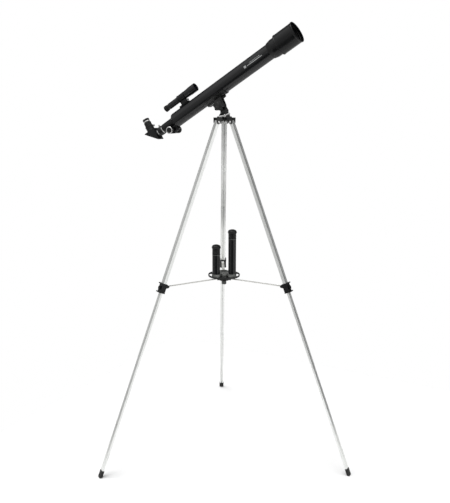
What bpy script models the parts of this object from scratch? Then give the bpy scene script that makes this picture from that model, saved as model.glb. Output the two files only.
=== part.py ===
"""A small refracting telescope on a fork head and a folding three-legged aluminium tripod.

Metres, +Z up, floor at z = 0. The tube points along +X and one leg lies under it, so the
object is nearly symmetric about the XZ plane.
"""

from math import acos, atan2, cos, hypot, pi, radians, sin

import bmesh
import bpy
from mathutils import Matrix, Vector

# ---------------------------------------------------------------- driving dimensions
GAP = 0.0003  # between pieces that touch

TRIPOD_X = -0.0786  # tripod axis; puts the origin under the middle of the whole object
LEG_ANGLES = {1: 0.0, 2: 120.0, 3: 240.0}
PIVOT_R = 0.0285  # leg hinge: distance from the tripod axis, and height
PIVOT_Z = 1.165
FOOT_R = 0.484  # foot centre's distance from the tripod axis, on the floor
LEAN = atan2(FOOT_R - PIVOT_R, PIVOT_Z)  # leg from vertical
LEG_LENGTH = hypot(FOOT_R - PIVOT_R, PIVOT_Z)  # hinge to floor

UPPER_W, UPPER_D = 0.0186, 0.0106  # upper channel, tangential and radial
LOWER_W, LOWER_D = 0.0152, 0.0074
WALL = 0.0012
SEAM = 0.0010
UPPER_TOP = 0.0046  # above the hinge, along the leg
COLLAR_TOP, COLLAR_BOTTOM = -0.565, -0.598  # along the leg from the hinge
COLLAR_X = 0.0086  # half the collar's body, radially
UPPER_END = COLLAR_BOTTOM + 0.009
LOWER_TOP = -0.520
FOOT_TOP = LEG_LENGTH - 0.025
POCKET = 0.016  # the lower leg's depth in the foot

EAR_Y = UPPER_W / 2 + 0.0004  # head ears, inner face from the leg's middle plane
EAR_T = 0.0032
EAR_R = 0.0068
BOLT_R = 0.0022
BOLT_HEAD_R = 0.0043

BRACE_Z = 0.6267  # braces lie level at rest
BRACE_OUT_R = 0.2225
BRACE_IN_R = 0.026
BRACE_W = 0.010
BRACE_T = 0.0016
EYE_R = 0.003
TRUNNION_R = 0.0015

HUB_BOTTOM, HUB_TOP = 0.621, 0.6340
HUB_R, HUB_REACH = 0.022, 0.031  # its disc, and the forks that hold the braces' inner ends
SLOT_R, SLOT_TOP = 0.0075, BRACE_Z + 0.0057  # room for the ends to slide in while the legs fold
TRAY_R = 0.0555
TRAY_Z = HUB_TOP + GAP
CUP_R = 0.032  # cup centres from the tripod axis
CUP_BORE = 0.0131
CUP_FLOOR = TRAY_Z + 0.0024
BARLOW_TOP = 0.750
ERECTOR_TOP = 0.803
LENS_BODY_R = 0.0138
LENS_SHOULDER = TRAY_Z + 0.0130

HEAD_TOP = 1.183
HEAD_BOTTOM = 1.1695
LOBE_TOP, LOBE_T, LOBE_REACH = 1.1796, 0.0036, 0.0355  # the head's plates over the leg tops
SPIGOT_R = 0.008
SPIGOT = 0.011  # how far the azimuth spigot reaches into the head
ALT_X = TRIPOD_X - 0.008  # altitude axis
ALT_Z = 1.2185
TILT = radians(31.3)  # tube above level at rest
AXIS_RISE = 0.053  # tube axis above the altitude axis
TONGUE = 0.0055  # half the fork tongue's thickness
FORK = 0.0094  # outer face of the saddle's ears
CROSSING = 0.041  # altitude axis to where the tube passes over the tripod axis, along the tube

TUBE_R = 0.025
TUBE_WALL = 0.0011
REAR, FRONT = -0.223 + CROSSING, 0.222 + CROSSING
CELL_REAR, CELL_FRONT = 0.195 + CROSSING, 0.238 + CROSSING
CELL_R = 0.030
SHIELD_REAR, SHIELD_FRONT = 0.227 + CROSSING, 0.298 + CROSSING
SHIELD_R = 0.034
LENS_R = 0.0257

SLEEVE_END = -0.283 + CROSSING
SLEEVE_R = 0.0155
DRAW_R = 0.0133
DRAW_END = -0.303 + CROSSING
DRAW_FRONT = -0.160 + CROSSING
COLLAR_LENGTH = 0.014
SHAFT_X = -0.249 + CROSSING  # focus shaft
SHAFT_N = -0.0245  # below the tube axis
PINION_R = 0.005
PINION_TEETH = 12

PRISM_X = -0.334 + CROSSING  # the diagonal's upright axis
PRISM_HALF = 0.0215
PRISM_W = 0.030
BARREL_R = 0.01225  # 24.5 mm eyepiece barrel

FINDER_N = 0.053
FINDER_REAR, FINDER_FRONT = -0.241 + CROSSING, -0.097 + CROSSING
FINDER_STALK = -0.163 + CROSSING

WING_ANGLE = radians(-60.0)  # azimuth lock, seen from above
WING_Z = 1.1858
WING_OUT = hypot(LOBE_REACH, EAR_Y + EAR_T + 0.0003) + 0.0006  # clear of the head's plates at every turn
WING_TILTS = {-1: radians(9.0), 1: radians(25.0)}

ROUND = 24  # sides of large turned pieces
MEDIUM = 16
SMALL = 12
TINY = 8


# ---------------------------------------------------------------- scene and materials
def clear_scene():
    for obj in list(bpy.data.objects):
        bpy.data.objects.remove(obj, do_unlink=True)


def collection(name):
    made = bpy.data.collections.new(name)
    bpy.context.scene.collection.children.link(made)
    return made


def material(name, colour, roughness, metallic=0.0, alpha=1.0):
    mat = bpy.data.materials.new(name)
    mat.use_nodes = True
    shader = mat.node_tree.nodes["Principled BSDF"]
    shader.inputs["Base Color"].default_value = (*colour, 1.0)
    shader.inputs["Roughness"].default_value = roughness
    shader.inputs["Metallic"].default_value = metallic
    shader.inputs["Alpha"].default_value = alpha
    return mat


clear_scene()
PARTS = collection("telescope_on_tripod")
CUTTERS = collection("cutters")

BLACK_GLOSS = material("black_enamel", (0.012, 0.013, 0.015), 0.28)
BLACK_PLASTIC = material("black_plastic", (0.016, 0.016, 0.017), 0.45)
RUBBER = material("black_rubber", (0.02, 0.02, 0.02), 0.75)
ALUMINIUM = material("satin_aluminium", (0.72, 0.73, 0.71), 0.35, 1.0)
CHROME = material("chrome", (0.8, 0.8, 0.8), 0.12, 1.0)
STEEL = material("bright_steel", (0.6, 0.6, 0.6), 0.25, 1.0)
BRASS = material("brass", (0.7, 0.5, 0.2), 0.3, 1.0)
GLASS = material("coated_glass", (0.75, 0.85, 0.95), 0.02, 0.0, 0.35)


# ---------------------------------------------------------------- building helpers
def empty(name, location, rotation=(0, 0, 0), parent=None):
    node = bpy.data.objects.new(name, None)
    node.location = location
    node.rotation_euler = rotation
    node.parent = parent
    PARTS.objects.link(node)
    return node


def place(name, mesh, mat, parent, location, rotation):
    obj = bpy.data.objects.new(name, mesh)
    obj.location = location
    obj.rotation_euler = rotation
    obj.parent = parent
    if mat is None:
        CUTTERS.objects.link(obj)
        obj.hide_render = True
        obj.display_type = "WIRE"
    else:
        mesh.materials.append(mat)
        PARTS.objects.link(obj)
    return obj


def box(name, low, high, mat, parent=None, location=(0, 0, 0), rotation=(0, 0, 0)):
    """A block between two corners, in the object's own axes."""
    low, high = Vector(low), Vector(high)
    bm = bmesh.new()
    bmesh.ops.create_cube(bm, size=1.0)
    bmesh.ops.scale(bm, vec=high - low, verts=bm.verts)
    bmesh.ops.translate(bm, vec=(high + low) / 2, verts=bm.verts)
    mesh = bpy.data.meshes.new(name)
    bm.to_mesh(mesh)
    bm.free()
    return place(name, mesh, mat, parent, location, rotation)


AXES = {
    "Z": Matrix.Identity(4),
    "X": Matrix.Rotation(pi / 2, 4, "Y"),
    "Y": Matrix.Rotation(-pi / 2, 4, "X"),
}


def rod(name, r, start, end, axis, mat, parent=None, location=(0, 0, 0), rotation=(0, 0, 0),
        sides=SMALL):
    """A cylinder along one axis."""
    bm = bmesh.new()
    bmesh.ops.create_cone(bm, cap_ends=True, segments=sides, radius1=r, radius2=r,
                          depth=end - start)
    bmesh.ops.translate(bm, vec=(0, 0, (start + end) / 2), verts=bm.verts)
    bmesh.ops.transform(bm, matrix=AXES[axis], verts=bm.verts)
    mesh = bpy.data.meshes.new(name)
    bm.to_mesh(mesh)
    bm.free()
    return place(name, mesh, mat, parent, location, rotation)


def turned(name, profile, axis, mat, parent=None, location=(0, 0, 0), rotation=(0, 0, 0),
           sides=MEDIUM, closed=False):
    """A turned solid. The profile holds (radius, height) points, down the outer side."""
    bm = bmesh.new()
    verts = [bm.verts.new((r, 0, h)) for r, h in profile]
    pairs = list(zip(verts, verts[1:]))
    if closed:
        pairs.append((verts[-1], verts[0]))
    for a, b in pairs:
        bm.edges.new((a, b))
    mesh = bpy.data.meshes.new(name)
    bm.to_mesh(mesh)
    bm.free()
    source = bpy.data.objects.new(name + "_profile", mesh)
    screw = source.modifiers.new("Turn", "SCREW")
    screw.steps = screw.render_steps = sides
    screw.use_merge_vertices = True
    screw.merge_threshold = 0.00001
    bpy.context.scene.collection.objects.link(source)
    made = applied(source, name)
    made.transform(AXES[axis])
    return place(name, made, mat, parent, location, rotation)


def applied(source, name):
    """The evaluated mesh of a helper object, with its caps welded; the helper is removed."""
    graph = bpy.context.evaluated_depsgraph_get()
    mesh = bpy.data.meshes.new_from_object(source.evaluated_get(graph))
    mesh.name = name
    bpy.data.objects.remove(source, do_unlink=True)
    bm = bmesh.new()
    bm.from_mesh(mesh)
    bmesh.ops.remove_doubles(bm, verts=bm.verts, dist=0.000005)
    bm.to_mesh(mesh)
    bm.free()
    mesh.materials.clear()
    return mesh


def plate(name, outline, low, high, axis, mat, parent=None, location=(0, 0, 0),
          rotation=(0, 0, 0)):
    """A flat outline given thickness along an axis.

    Axis Z: the outline's points are (x, y). Axis Y: they are (x, z). Axis X: (y, z).
    """
    curve = bpy.data.curves.new(name, "CURVE")
    curve.dimensions = "2D"
    curve.fill_mode = "BOTH"
    curve.extrude = (high - low) / 2
    spline = curve.splines.new("POLY")
    spline.points.add(len(outline) - 1)
    for point, (a, b) in zip(spline.points, outline):
        point.co = (a, b, 0, 1)
    spline.use_cyclic_u = True
    source = bpy.data.objects.new(name + "_outline", curve)
    bpy.context.scene.collection.objects.link(source)
    made = applied(source, name)
    middle = (low + high) / 2
    turn = {
        "Z": Matrix.Translation((0, 0, middle)),
        "Y": Matrix.Translation((0, middle, 0)) @ Matrix.Rotation(pi / 2, 4, "X"),
        "X": Matrix.Translation((middle, 0, 0))
        @ Matrix(((0, 0, 1, 0), (1, 0, 0, 0), (0, 1, 0, 0), (0, 0, 0, 1))),
    }[axis]
    made.transform(turn)
    return place(name, made, mat, parent, location, rotation)


def boolean(obj, other, operation):
    """Cut or join with a helper that is then kept with the cutters."""
    mod = obj.modifiers.new(operation.title(), "BOOLEAN")
    mod.operation = operation
    mod.solver = "EXACT"
    mod.object = other
    return obj


def cut(obj, *cutters):
    for cutter in cutters:
        boolean(obj, cutter, "DIFFERENCE")
    return obj


def join(obj, *others):
    for other in others:
        boolean(obj, other, "UNION")
    return obj


def arc(cx, cy, r, start, end, steps):
    """Points along an arc, angles in degrees, both ends included."""
    turn = [radians(start + (end - start) * i / steps) for i in range(steps + 1)]
    return [(cx + r * cos(a), cy + r * sin(a)) for a in turn]


def ring(name, outer, inner, low, high, axis, mat, parent=None, location=(0, 0, 0),
         rotation=(0, 0, 0), sides=MEDIUM):
    profile = [(outer, high), (outer, low), (inner, low), (inner, high)]
    return turned(name, profile, axis, mat, parent, location, rotation, sides, closed=True)


def lobed(lobes, r, depth, steps=4):
    """A knob's outline: round lobes with a hollow between each two."""
    count = lobes * steps * 2
    return [
        ((r - depth * (0.5 - 0.5 * cos(lobes * a))) * cos(a),
         (r - depth * (0.5 - 0.5 * cos(lobes * a))) * sin(a))
        for a in (2 * pi * i / count for i in range(count))
    ]


def shade_round_pieces():
    for obj in PARTS.objects:
        if obj.type == "MESH":
            obj.data.shade_smooth()
            obj.data.set_sharp_from_angle(angle=radians(35))


# ---------------------------------------------------------------- tripod head
def head_ear(name, side, mat, parent, location):
    """One of a leg's two ears: a web from the middle of the head to a round end at the hinge."""
    top, bottom = LOBE_TOP - PIVOT_Z - 0.0006, HEAD_BOTTOM - PIVOT_Z + 0.0004
    outline = [(-0.020, top), (-0.020, bottom), (-0.0105, bottom)]
    outline += arc(0, 0, EAR_R, -115, 0, 6) + [(EAR_R, top)]
    low = EAR_Y if side > 0 else -EAR_Y - EAR_T
    return plate(name, outline, low, low + EAR_T, "Y", mat, parent, location)


def tripod_head(tripod):
    profile = [
        (0.0, HEAD_TOP), (0.024, HEAD_TOP), (0.025, HEAD_TOP - 0.001),
        (0.025, HEAD_TOP - 0.004), (0.0145, HEAD_TOP - 0.004),
        (0.0145, HEAD_BOTTOM + 0.001), (0.0135, HEAD_BOTTOM), (0.0, HEAD_BOTTOM),
    ]
    head = turned("tripod_head", profile, "Z", BLACK_PLASTIC, tripod, sides=MEDIUM)
    for number, angle in LEG_ANGLES.items():
        hinge = empty(f"ear_frame_{number}", (0, 0, 0), (0, 0, radians(angle)), tripod)
        for side in (-1, 1):
            ear = head_ear(f"ear_{number}_{side}", side, None, hinge, (PIVOT_R, 0, PIVOT_Z))
            join(head, ear)
        half_y = EAR_Y + EAR_T + 0.0003
        lobe = box(f"head_lobe_{number}", (0.012, -half_y, LOBE_TOP - LOBE_T),
                   (LOBE_REACH, half_y, LOBE_TOP), None, hinge)
        join(head, lobe)
    for number, angle in LEG_ANGLES.items():
        hinge = bpy.data.objects[f"ear_frame_{number}"]
        hole = rod(f"ear_hole_{number}", BOLT_R + GAP, -0.03, 0.03, "Y", None, hinge,
                   (PIVOT_R, 0, PIVOT_Z))
        cut(head, hole)
    bore = rod("spigot_hole", SPIGOT_R + GAP, HEAD_TOP - SPIGOT - GAP, HEAD_TOP + 0.01, "Z", None, tripod,
               sides=MEDIUM)
    cut(head, bore)
    return head


def leg_bolt(number, hinge):
    """A shank with a domed head at each end, along the hinge axis."""
    reach = EAR_Y + EAR_T + GAP
    head, domed = BOLT_HEAD_R, BOLT_HEAD_R - 0.0011
    profile = [(0.0, reach + 0.0032), (domed, reach + 0.0028), (head, reach + 0.0014),
               (head, reach), (BOLT_R, reach), (BOLT_R, -reach), (head, -reach),
               (head, -reach - 0.0014), (domed, -reach - 0.0028), (0.0, -reach - 0.0032)]
    turned(f"leg_bolt_{number}", profile, "Y", STEEL, hinge, sides=SMALL)


# ---------------------------------------------------------------- legs
def channel_outline(width, depth, wall, seam):
    """A C section, closed on its outer side (+X), its lips on the inner side nearly meeting."""
    x, y = depth / 2, width / 2
    half = [(x, y), (-x, y), (-x, seam), (-x + wall, seam), (-x + wall, y - wall), (x - wall, y - wall)]
    return half + [(a, -b) for a, b in reversed(half)]


def channel(name, width, depth, low, high, mat, parent):
    return plate(name, channel_outline(width, depth, WALL, SEAM), low, high, "Z", mat, parent)


def upper_leg(number, frame):
    leg = channel(f"upper_leg_{number}", UPPER_W, UPPER_D, UPPER_END, UPPER_TOP, ALUMINIUM, frame)
    hole = rod(f"upper_hole_{number}", BOLT_R + 0.0004, -0.02, 0.02, "Y", None, frame)
    return cut(leg, hole)


def leg_cap(number, frame):
    """Plugs the channel's top; the hinge bolt runs through it."""
    half_y, half_x = UPPER_W / 2 - WALL - GAP, UPPER_D / 2 - WALL - GAP
    cap = box(f"leg_cap_{number}", (-half_x, -half_y, -0.0048), (half_x, half_y, UPPER_TOP + 0.002),
              BLACK_PLASTIC, frame)
    wide_x, wide_y = UPPER_D / 2 + 0.0008, UPPER_W / 2 + 0.0002
    top = box(f"cap_top_{number}", (-wide_x, -wide_y, UPPER_TOP + GAP),
              (wide_x, wide_y, UPPER_TOP + 0.0042), None, frame)
    hole = rod(f"cap_hole_{number}", BOLT_R + GAP, -0.02, 0.02, "Y", None, frame)
    return cut(join(cap, top), hole)


def brace_eye_in_leg():
    """The brace's outer eye in the leg's own axes."""
    out, up = BRACE_OUT_R - PIVOT_R, BRACE_Z - PIVOT_Z
    return out * cos(LEAN) + up * sin(LEAN), -out * sin(LEAN) + up * cos(LEAN)


def leg_collar(number, frame):
    """A spool-shaped sleeve: two flanges outside, two brace ears at its inner top edge."""
    half_y, inner_x, outer_x = UPPER_W / 2 + 0.0026, -COLLAR_X, COLLAR_X
    collar = box(f"leg_collar_{number}", (inner_x, -half_y, COLLAR_BOTTOM + 0.001),
                 (outer_x, half_y, COLLAR_TOP - 0.001), BLACK_PLASTIC, frame)
    for low, high, label in ((COLLAR_TOP - 0.0035, COLLAR_TOP, "top"),
                             (COLLAR_BOTTOM, COLLAR_BOTTOM + 0.0035, "bottom")):
        flange = box(f"collar_{label}_{number}", (inner_x - 0.0005, -half_y - 0.0012, low),
                     (outer_x + 0.0048, half_y + 0.0012, high), None, frame)
        join(collar, flange)
    eye_x, eye_z = brace_eye_in_leg()
    ear_y = BRACE_W / 2 + 0.0004
    for side in (-1, 1):
        low = ear_y if side > 0 else -ear_y - 0.003
        outline = [(inner_x + 0.001, COLLAR_TOP - 0.0004), (inner_x + 0.001, COLLAR_TOP - 0.016)]
        outline += arc(eye_x, eye_z, 0.0045, 250, 95, 5)
        ear = plate(f"collar_ear_{number}_{side}", outline[::-1], low, low + 0.003, "Y", None, frame)
        join(collar, ear)
    sleeve = box(f"collar_sleeve_{number}",
                 (-UPPER_D / 2 - GAP, -UPPER_W / 2 - GAP, UPPER_END - GAP),
                 (UPPER_D / 2 + GAP, UPPER_W / 2 + GAP, COLLAR_TOP + 0.01), None, frame)
    throat = box(f"collar_throat_{number}",
                 (-LOWER_D / 2 - GAP, -LOWER_W / 2 - GAP, COLLAR_BOTTOM - 0.01),
                 (LOWER_D / 2 + GAP, LOWER_W / 2 + GAP, UPPER_END + 0.01), None, frame)
    pin = rod(f"collar_pin_{number}", TRUNNION_R + 0.0004, -0.02, 0.02, "Y", None, frame,
              (eye_x, 0, eye_z), sides=TINY)
    lock = rod(f"collar_lock_hole_{number}", 0.0024, UPPER_D / 2 - 0.001, 0.02, "X", None, frame,
               (0, 0, (COLLAR_TOP + COLLAR_BOTTOM) / 2), sides=TINY)
    window = box(f"collar_window_{number}", (inner_x - 0.01, -0.0045, COLLAR_BOTTOM + 0.0060),
                 (0.0, 0.0045, COLLAR_TOP - 0.0035), None, frame)
    return cut(collar, sleeve, throat, pin, lock, window)


def leg_lock_screw(number, frame):
    """A low knurled thumb nut and its stud, between the collar's outer flanges."""
    outline = lobed(8, 0.0064, 0.0008, 2)
    start = COLLAR_X + GAP
    head = plate(f"leg_lock_{number}", outline, start, start + 0.0050, "X", BLACK_PLASTIC, frame,
                 (0, 0, (COLLAR_TOP + COLLAR_BOTTOM) / 2))
    stud = rod(f"lock_stud_{number}", 0.0019, UPPER_D / 2 + GAP, start + 0.002, "X", None, frame,
               (0, 0, (COLLAR_TOP + COLLAR_BOTTOM) / 2), sides=TINY)
    return join(head, stud)


def lower_leg(number, frame):
    end = -FOOT_TOP - POCKET + GAP
    return channel(f"lower_leg_{number}", LOWER_W, LOWER_D, end, LOWER_TOP, ALUMINIUM, frame)


def on_floor(x):
    """Height along the leg where the line x = constant meets the floor."""
    return -(PIVOT_Z + x * sin(LEAN)) / cos(LEAN)


def leg_foot(number, frame):
    """A boot with rounded-off lower corners and a flat sole on the floor."""
    half_x, half_y = LOWER_D / 2 + 0.0016, LOWER_W / 2 + 0.0013
    sole_x, sole_y = 0.62 * half_x, 0.62 * half_y
    corner = 0.0042
    outline = [(half_x, -FOOT_TOP), (-half_x, -FOOT_TOP), (-half_x, on_floor(-half_x) + corner),
               (-sole_x, on_floor(-sole_x)), (sole_x, on_floor(sole_x)),
               (half_x, on_floor(half_x) + corner)]
    foot = plate(f"leg_foot_{number}", outline, -half_y, half_y, "Y", RUBBER, frame)
    deep, wide, above = on_floor(half_x) - 0.002, half_y + 0.001, -FOOT_TOP + 0.002
    front = [(-wide, above), (-wide, deep + 2 * corner), (-sole_y, deep), (sole_y, deep),
             (wide, deep + 2 * corner), (wide, above)]
    rounding = plate(f"foot_rounding_{number}", front, -0.02, 0.02, "X", None, frame)
    boolean(foot, rounding, "INTERSECT")
    pocket = box(f"foot_pocket_{number}",
                 (-LOWER_D / 2 - GAP, -LOWER_W / 2 - GAP, -FOOT_TOP - POCKET),
                 (LOWER_D / 2 + GAP, LOWER_W / 2 + GAP, -FOOT_TOP + 0.01), None, frame)
    return cut(foot, pocket)


def brace(number, spoke):
    """A flat strip with an eye at each end and a cross pin at its outer one."""
    span = BRACE_OUT_R - BRACE_IN_R
    half = BRACE_T / 2
    lift = acos(1 - half / EYE_R) * 180 / pi
    outline = arc(span, 0, EYE_R, -180 + lift, 180 - lift, 6)
    outline += arc(0, 0, EYE_R, lift, 360 - lift, 6)
    strip = plate(f"brace_{number}", outline, -BRACE_W / 2, BRACE_W / 2, "Y", ALUMINIUM, spoke)
    pin = rod(f"brace_pin_{number}", TRUNNION_R, -BRACE_W / 2 - 0.0028, BRACE_W / 2 + 0.0028, "Y",
              None, spoke, (span, 0, 0), sides=TINY)
    return join(strip, pin)


# ---------------------------------------------------------------- spreader and tray
def spreader_hub(tripod):
    """A disc with a fork for each brace, open below, whose slot runs in towards the middle."""
    profile = [(0.0, HUB_TOP), (HUB_R - 0.001, HUB_TOP), (HUB_R, HUB_TOP - 0.001),
               (HUB_R, HUB_BOTTOM + 0.001), (HUB_R - 0.001, HUB_BOTTOM), (0.0, HUB_BOTTOM)]
    hub = turned("spreader_hub", profile, "Z", BLACK_PLASTIC, tripod)
    half_slot, half_fork = BRACE_W / 2 + 0.0004, BRACE_W / 2 + 0.0030
    for number, angle in LEG_ANGLES.items():
        spoke = empty(f"hub_frame_{number}", (0, 0, 0), (0, 0, radians(angle)), tripod)
        fork = box(f"hub_fork_{number}", (0.012, -half_fork, BRACE_Z - EYE_R - 0.0006),
                   (HUB_REACH, half_fork, HUB_TOP - 0.0004), None, spoke)
        join(hub, fork)
    for number in LEG_ANGLES:
        spoke = bpy.data.objects[f"hub_frame_{number}"]
        slot = box(f"hub_slot_{number}", (SLOT_R, -half_slot, 0.60),
                   (HUB_REACH + 0.01, half_slot, SLOT_TOP), None, spoke)
        cut(hub, slot)
    screw = rod("hub_screw_hole", 0.0034, 0.6, 0.65, "Z", None, tripod)
    return cut(hub, screw)


def accessory_tray(tripod):
    """A hoop round a boss and three cups, all tied by spokes."""
    deck = 0.0024
    tray = ring("accessory_tray", TRAY_R, TRAY_R - 0.0028, TRAY_Z, TRAY_Z + 0.0065, "Z",
                BLACK_PLASTIC, tripod, sides=ROUND)
    boss = rod("tray_boss", 0.0145, TRAY_Z, TRAY_Z + 0.010, "Z", None, tripod, sides=MEDIUM)
    join(tray, boss)
    for number, angle in LEG_ANGLES.items():
        spoke = empty(f"tray_frame_{number}", (0, 0, 0), (0, 0, radians(angle)), tripod)
        bar = box(f"tray_spoke_{number}", (0.004, -0.003, TRAY_Z + 0.00005),
                  (TRAY_R - 0.001, 0.003, TRAY_Z + deck), None, spoke)
        web = box(f"tray_web_{number}", (-TRAY_R + 0.001, -0.0025, TRAY_Z + 0.0001),
                  (-0.004, 0.0025, TRAY_Z + deck + 0.0012), None, spoke)
        cup = rod(f"tray_cup_{number}", CUP_BORE + 0.0022, TRAY_Z + 0.00002, TRAY_Z + 0.0105, "Z",
                  None, spoke, (CUP_R, 0, 0), sides=MEDIUM)
        join(tray, bar, web, cup)
    for number in LEG_ANGLES:
        spoke = bpy.data.objects[f"tray_frame_{number}"]
        bore = rod(f"tray_bore_{number}", CUP_BORE, CUP_FLOOR, TRAY_Z + 0.02, "Z", None, spoke,
                   (CUP_R, 0, 0), sides=MEDIUM)
        cut(tray, bore)
    screw = rod("tray_screw_hole", 0.0034, TRAY_Z - 0.01, TRAY_Z + 0.008, "Z", None, tripod)
    return cut(tray, screw)


def tray_knob(tripod):
    outline = lobed(6, 0.0082, 0.001, 2)
    knob = plate("tray_knob", outline, HUB_BOTTOM - GAP - 0.016, HUB_BOTTOM - GAP, "Z",
                 BLACK_PLASTIC, tripod)
    stud = rod("tray_knob_stud", 0.003, HUB_BOTTOM - 0.004, TRAY_Z + 0.0075, "Z", None, tripod)
    return join(knob, stud)


def standing_lens(name, angle, top, tripod):
    """A barrel with a wider domed cap, stood upright in one of the tray's cups."""
    foot = CUP_FLOOR + GAP
    profile = [(0.0, top), (0.0065, top - 0.0006), (0.0125, top - 0.003), (0.0149, top - 0.0065),
               (0.0153, top - 0.0105), (0.0159, top - 0.0110), (0.0159, top - 0.0125),
               (LENS_BODY_R, top - 0.0130), (LENS_BODY_R, LENS_SHOULDER), (BARREL_R, LENS_SHOULDER - 0.001),
               (BARREL_R, foot), (0.0, foot)]
    spoke = empty(name + "_frame", (0, 0, 0), (0, 0, radians(angle)), tripod)
    return turned(name, profile, "Z", BLACK_PLASTIC, spoke, (CUP_R, 0, 0))


# ---------------------------------------------------------------- fork head
def azimuth_base(tripod):
    """Skirt, spigot, square post and the tongue that carries the altitude bolt."""
    low = HEAD_TOP + GAP
    end = low - SPIGOT
    profile = [(0.0, low + 0.012), (0.0140, low + 0.010), (0.0190, low + 0.0025), (0.0190, low),
               (SPIGOT_R, low), (SPIGOT_R, end), (0.0, end)]
    base = turned("azimuth_base", profile, "Z", BLACK_PLASTIC, tripod)
    post_x, post_y, post_top = 0.0112, 0.0100, ALT_Z - 0.0128
    post = box("base_post", (-post_x, -post_y, low + 0.004), (post_x, post_y, post_top), None, tripod)
    away = ALT_X - TRIPOD_X
    outline = [(-post_x + 0.0004, ALT_Z - 0.03), (post_x - 0.0004, ALT_Z - 0.03),
               (post_x - 0.0004, post_top + 0.0008)]
    outline += arc(away, ALT_Z, 0.0098, 20, 180, 9)
    tongue = plate("base_tongue", outline, -TONGUE, TONGUE, "Y", None, tripod)
    cheek = rod("base_cheek", 0.0080, -post_y - 0.0016, -post_y + 0.002, "Y", None, tripod,
                (0, 0, 1.1985))
    join(base, post, tongue, cheek)
    hole = rod("base_bolt_hole", 0.0041, -0.03, 0.03, "Y", None, tripod, (away, 0, ALT_Z))
    wing_frame = empty("azimuth_lock_axis", (0, 0, WING_Z), (0, 0, WING_ANGLE), tripod)
    stud_hole = rod("base_lock_hole", 0.0027, 0.0085, 0.03, "X", None, wing_frame)
    cut(base, hole, stud_hole)
    return wing_frame


def wing_bolt(wing_frame):
    """A threaded stud with a hub and two round-ended wings."""
    bolt = rod("azimuth_lock_bolt", 0.0024, 0.0095, WING_OUT + 0.003, "X", CHROME, wing_frame)
    hub = rod("wing_hub", 0.0046, 0.0270, WING_OUT + 0.005, "X", None, wing_frame)
    join(bolt, hub)
    for side, tilt in WING_TILTS.items():
        outline = [(0.0, 0.0022), (0.0, -0.0022), (0.008, -0.0026)]
        outline += arc(0.0165, 0, 0.0032, -80, 80, 5) + [(0.008, 0.0026)]
        outline = [(side * y, z) for y, z in outline][::side]
        wing = plate(f"wing_{side}", outline, WING_OUT, WING_OUT + 0.0035, "X", None, wing_frame,
                     rotation=(tilt, 0, 0))
        join(bolt, wing)
    return bolt


def altitude_bolt(alt_fixed):
    """A head on the far side and a shank that reaches into the knob."""
    seat = FORK + GAP
    profile = [(0.0, seat + 0.0046), (0.0062, seat + 0.0046), (0.0070, seat + 0.0036), (0.0070, seat),
               (0.0038, seat), (0.0038, -0.0270), (0.0, -0.0270)]
    turned("altitude_bolt", profile, "Y", STEEL, alt_fixed, sides=SMALL)


def altitude_knob(alt_fixed):
    outline = lobed(6, 0.0180, 0.0034, 3)
    knob = plate("altitude_knob", outline, -0.0335, -0.0175, "Y", BLACK_PLASTIC, alt_fixed)
    neck = rod("knob_neck", 0.0105, -0.0190, -FORK - GAP, "Y", None, alt_fixed, sides=MEDIUM)
    cap = rod("knob_cap", 0.0095, -0.0360, -0.0325, "Y", None, alt_fixed, sides=MEDIUM)
    bore = rod("knob_bore", 0.0041, -0.0275, 0.0, "Y", None, alt_fixed)
    return cut(join(knob, neck, cap), bore)


def saddle_bracket(mount):
    """A cradle under the tube with two ears astride the fork's tongue."""
    rear, front = -0.045, 0.037
    inner, outer = TUBE_R + GAP, TUBE_R + 0.0033
    outline = arc(0, AXIS_RISE, outer, 218, 322, 12) + arc(0, AXIS_RISE, inner, 322, 218, 12)
    saddle = plate("saddle_bracket", outline, rear, front, "X", BLACK_PLASTIC, mount)
    block_top = AXIS_RISE - inner - 0.0006
    block = box("saddle_block", (rear + 0.0002, -0.0110, 0.0205), (-0.0185, 0.0110, block_top), None,
                mount)
    join(saddle, block)
    ear_top = AXIS_RISE - inner + 0.0007
    for side in (-1, 1):
        low, high = sorted((side * (TONGUE + GAP), side * FORK))
        ear_outline = arc(0, 0, 0.0108, 180, 360, 8) + [(0.0135, ear_top), (-0.022, ear_top)]
        ear = plate(f"saddle_ear_{side}", ear_outline, low, high, "Y", None, mount)
        join(saddle, ear)
    stub = rod("saddle_stub", 0.0042, 0.006, 0.0270, "X", None, mount, (0, 0, 0.0212))
    bolt = rod("saddle_bolt_hole", 0.0041, -0.03, 0.03, "Y", None, mount)
    return cut(join(saddle, stub), bolt)


# ---------------------------------------------------------------- tube
def main_tube(tube):
    ring("main_tube", TUBE_R, TUBE_R - TUBE_WALL, REAR, FRONT, "X", BLACK_GLOSS, tube, sides=ROUND)


def objective(tube):
    """The cell that slides over the tube's front, its lens and the ring that holds the lens."""
    seat = FRONT + 0.0026
    bore = TUBE_R + GAP
    cell = [
        (CELL_R, CELL_FRONT), (CELL_R, CELL_REAR + 0.012), (0.0272, CELL_REAR), (bore, CELL_REAR),
        (bore, FRONT + GAP), (0.0234, FRONT + GAP), (0.0234, seat), (LENS_R + GAP, seat),
        (LENS_R + GAP, CELL_FRONT),
    ]
    turned("objective_cell", cell, "X", BLACK_PLASTIC, tube, sides=ROUND, closed=True)
    back, edge = seat + GAP, seat + 0.0062
    lens = [(0.0, edge + 0.0016), (0.014, edge + 0.0011), (LENS_R, edge), (LENS_R, back),
            (0.0234, back), (0.012, back + 0.0009), (0.0, back + 0.0012)]
    turned("objective_lens", lens, "X", GLASS, tube, sides=ROUND)
    ring("lens_retaining_ring", LENS_R, 0.0240, edge + GAP, edge + 0.0042, "X", BLACK_PLASTIC, tube,
         sides=ROUND)


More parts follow.
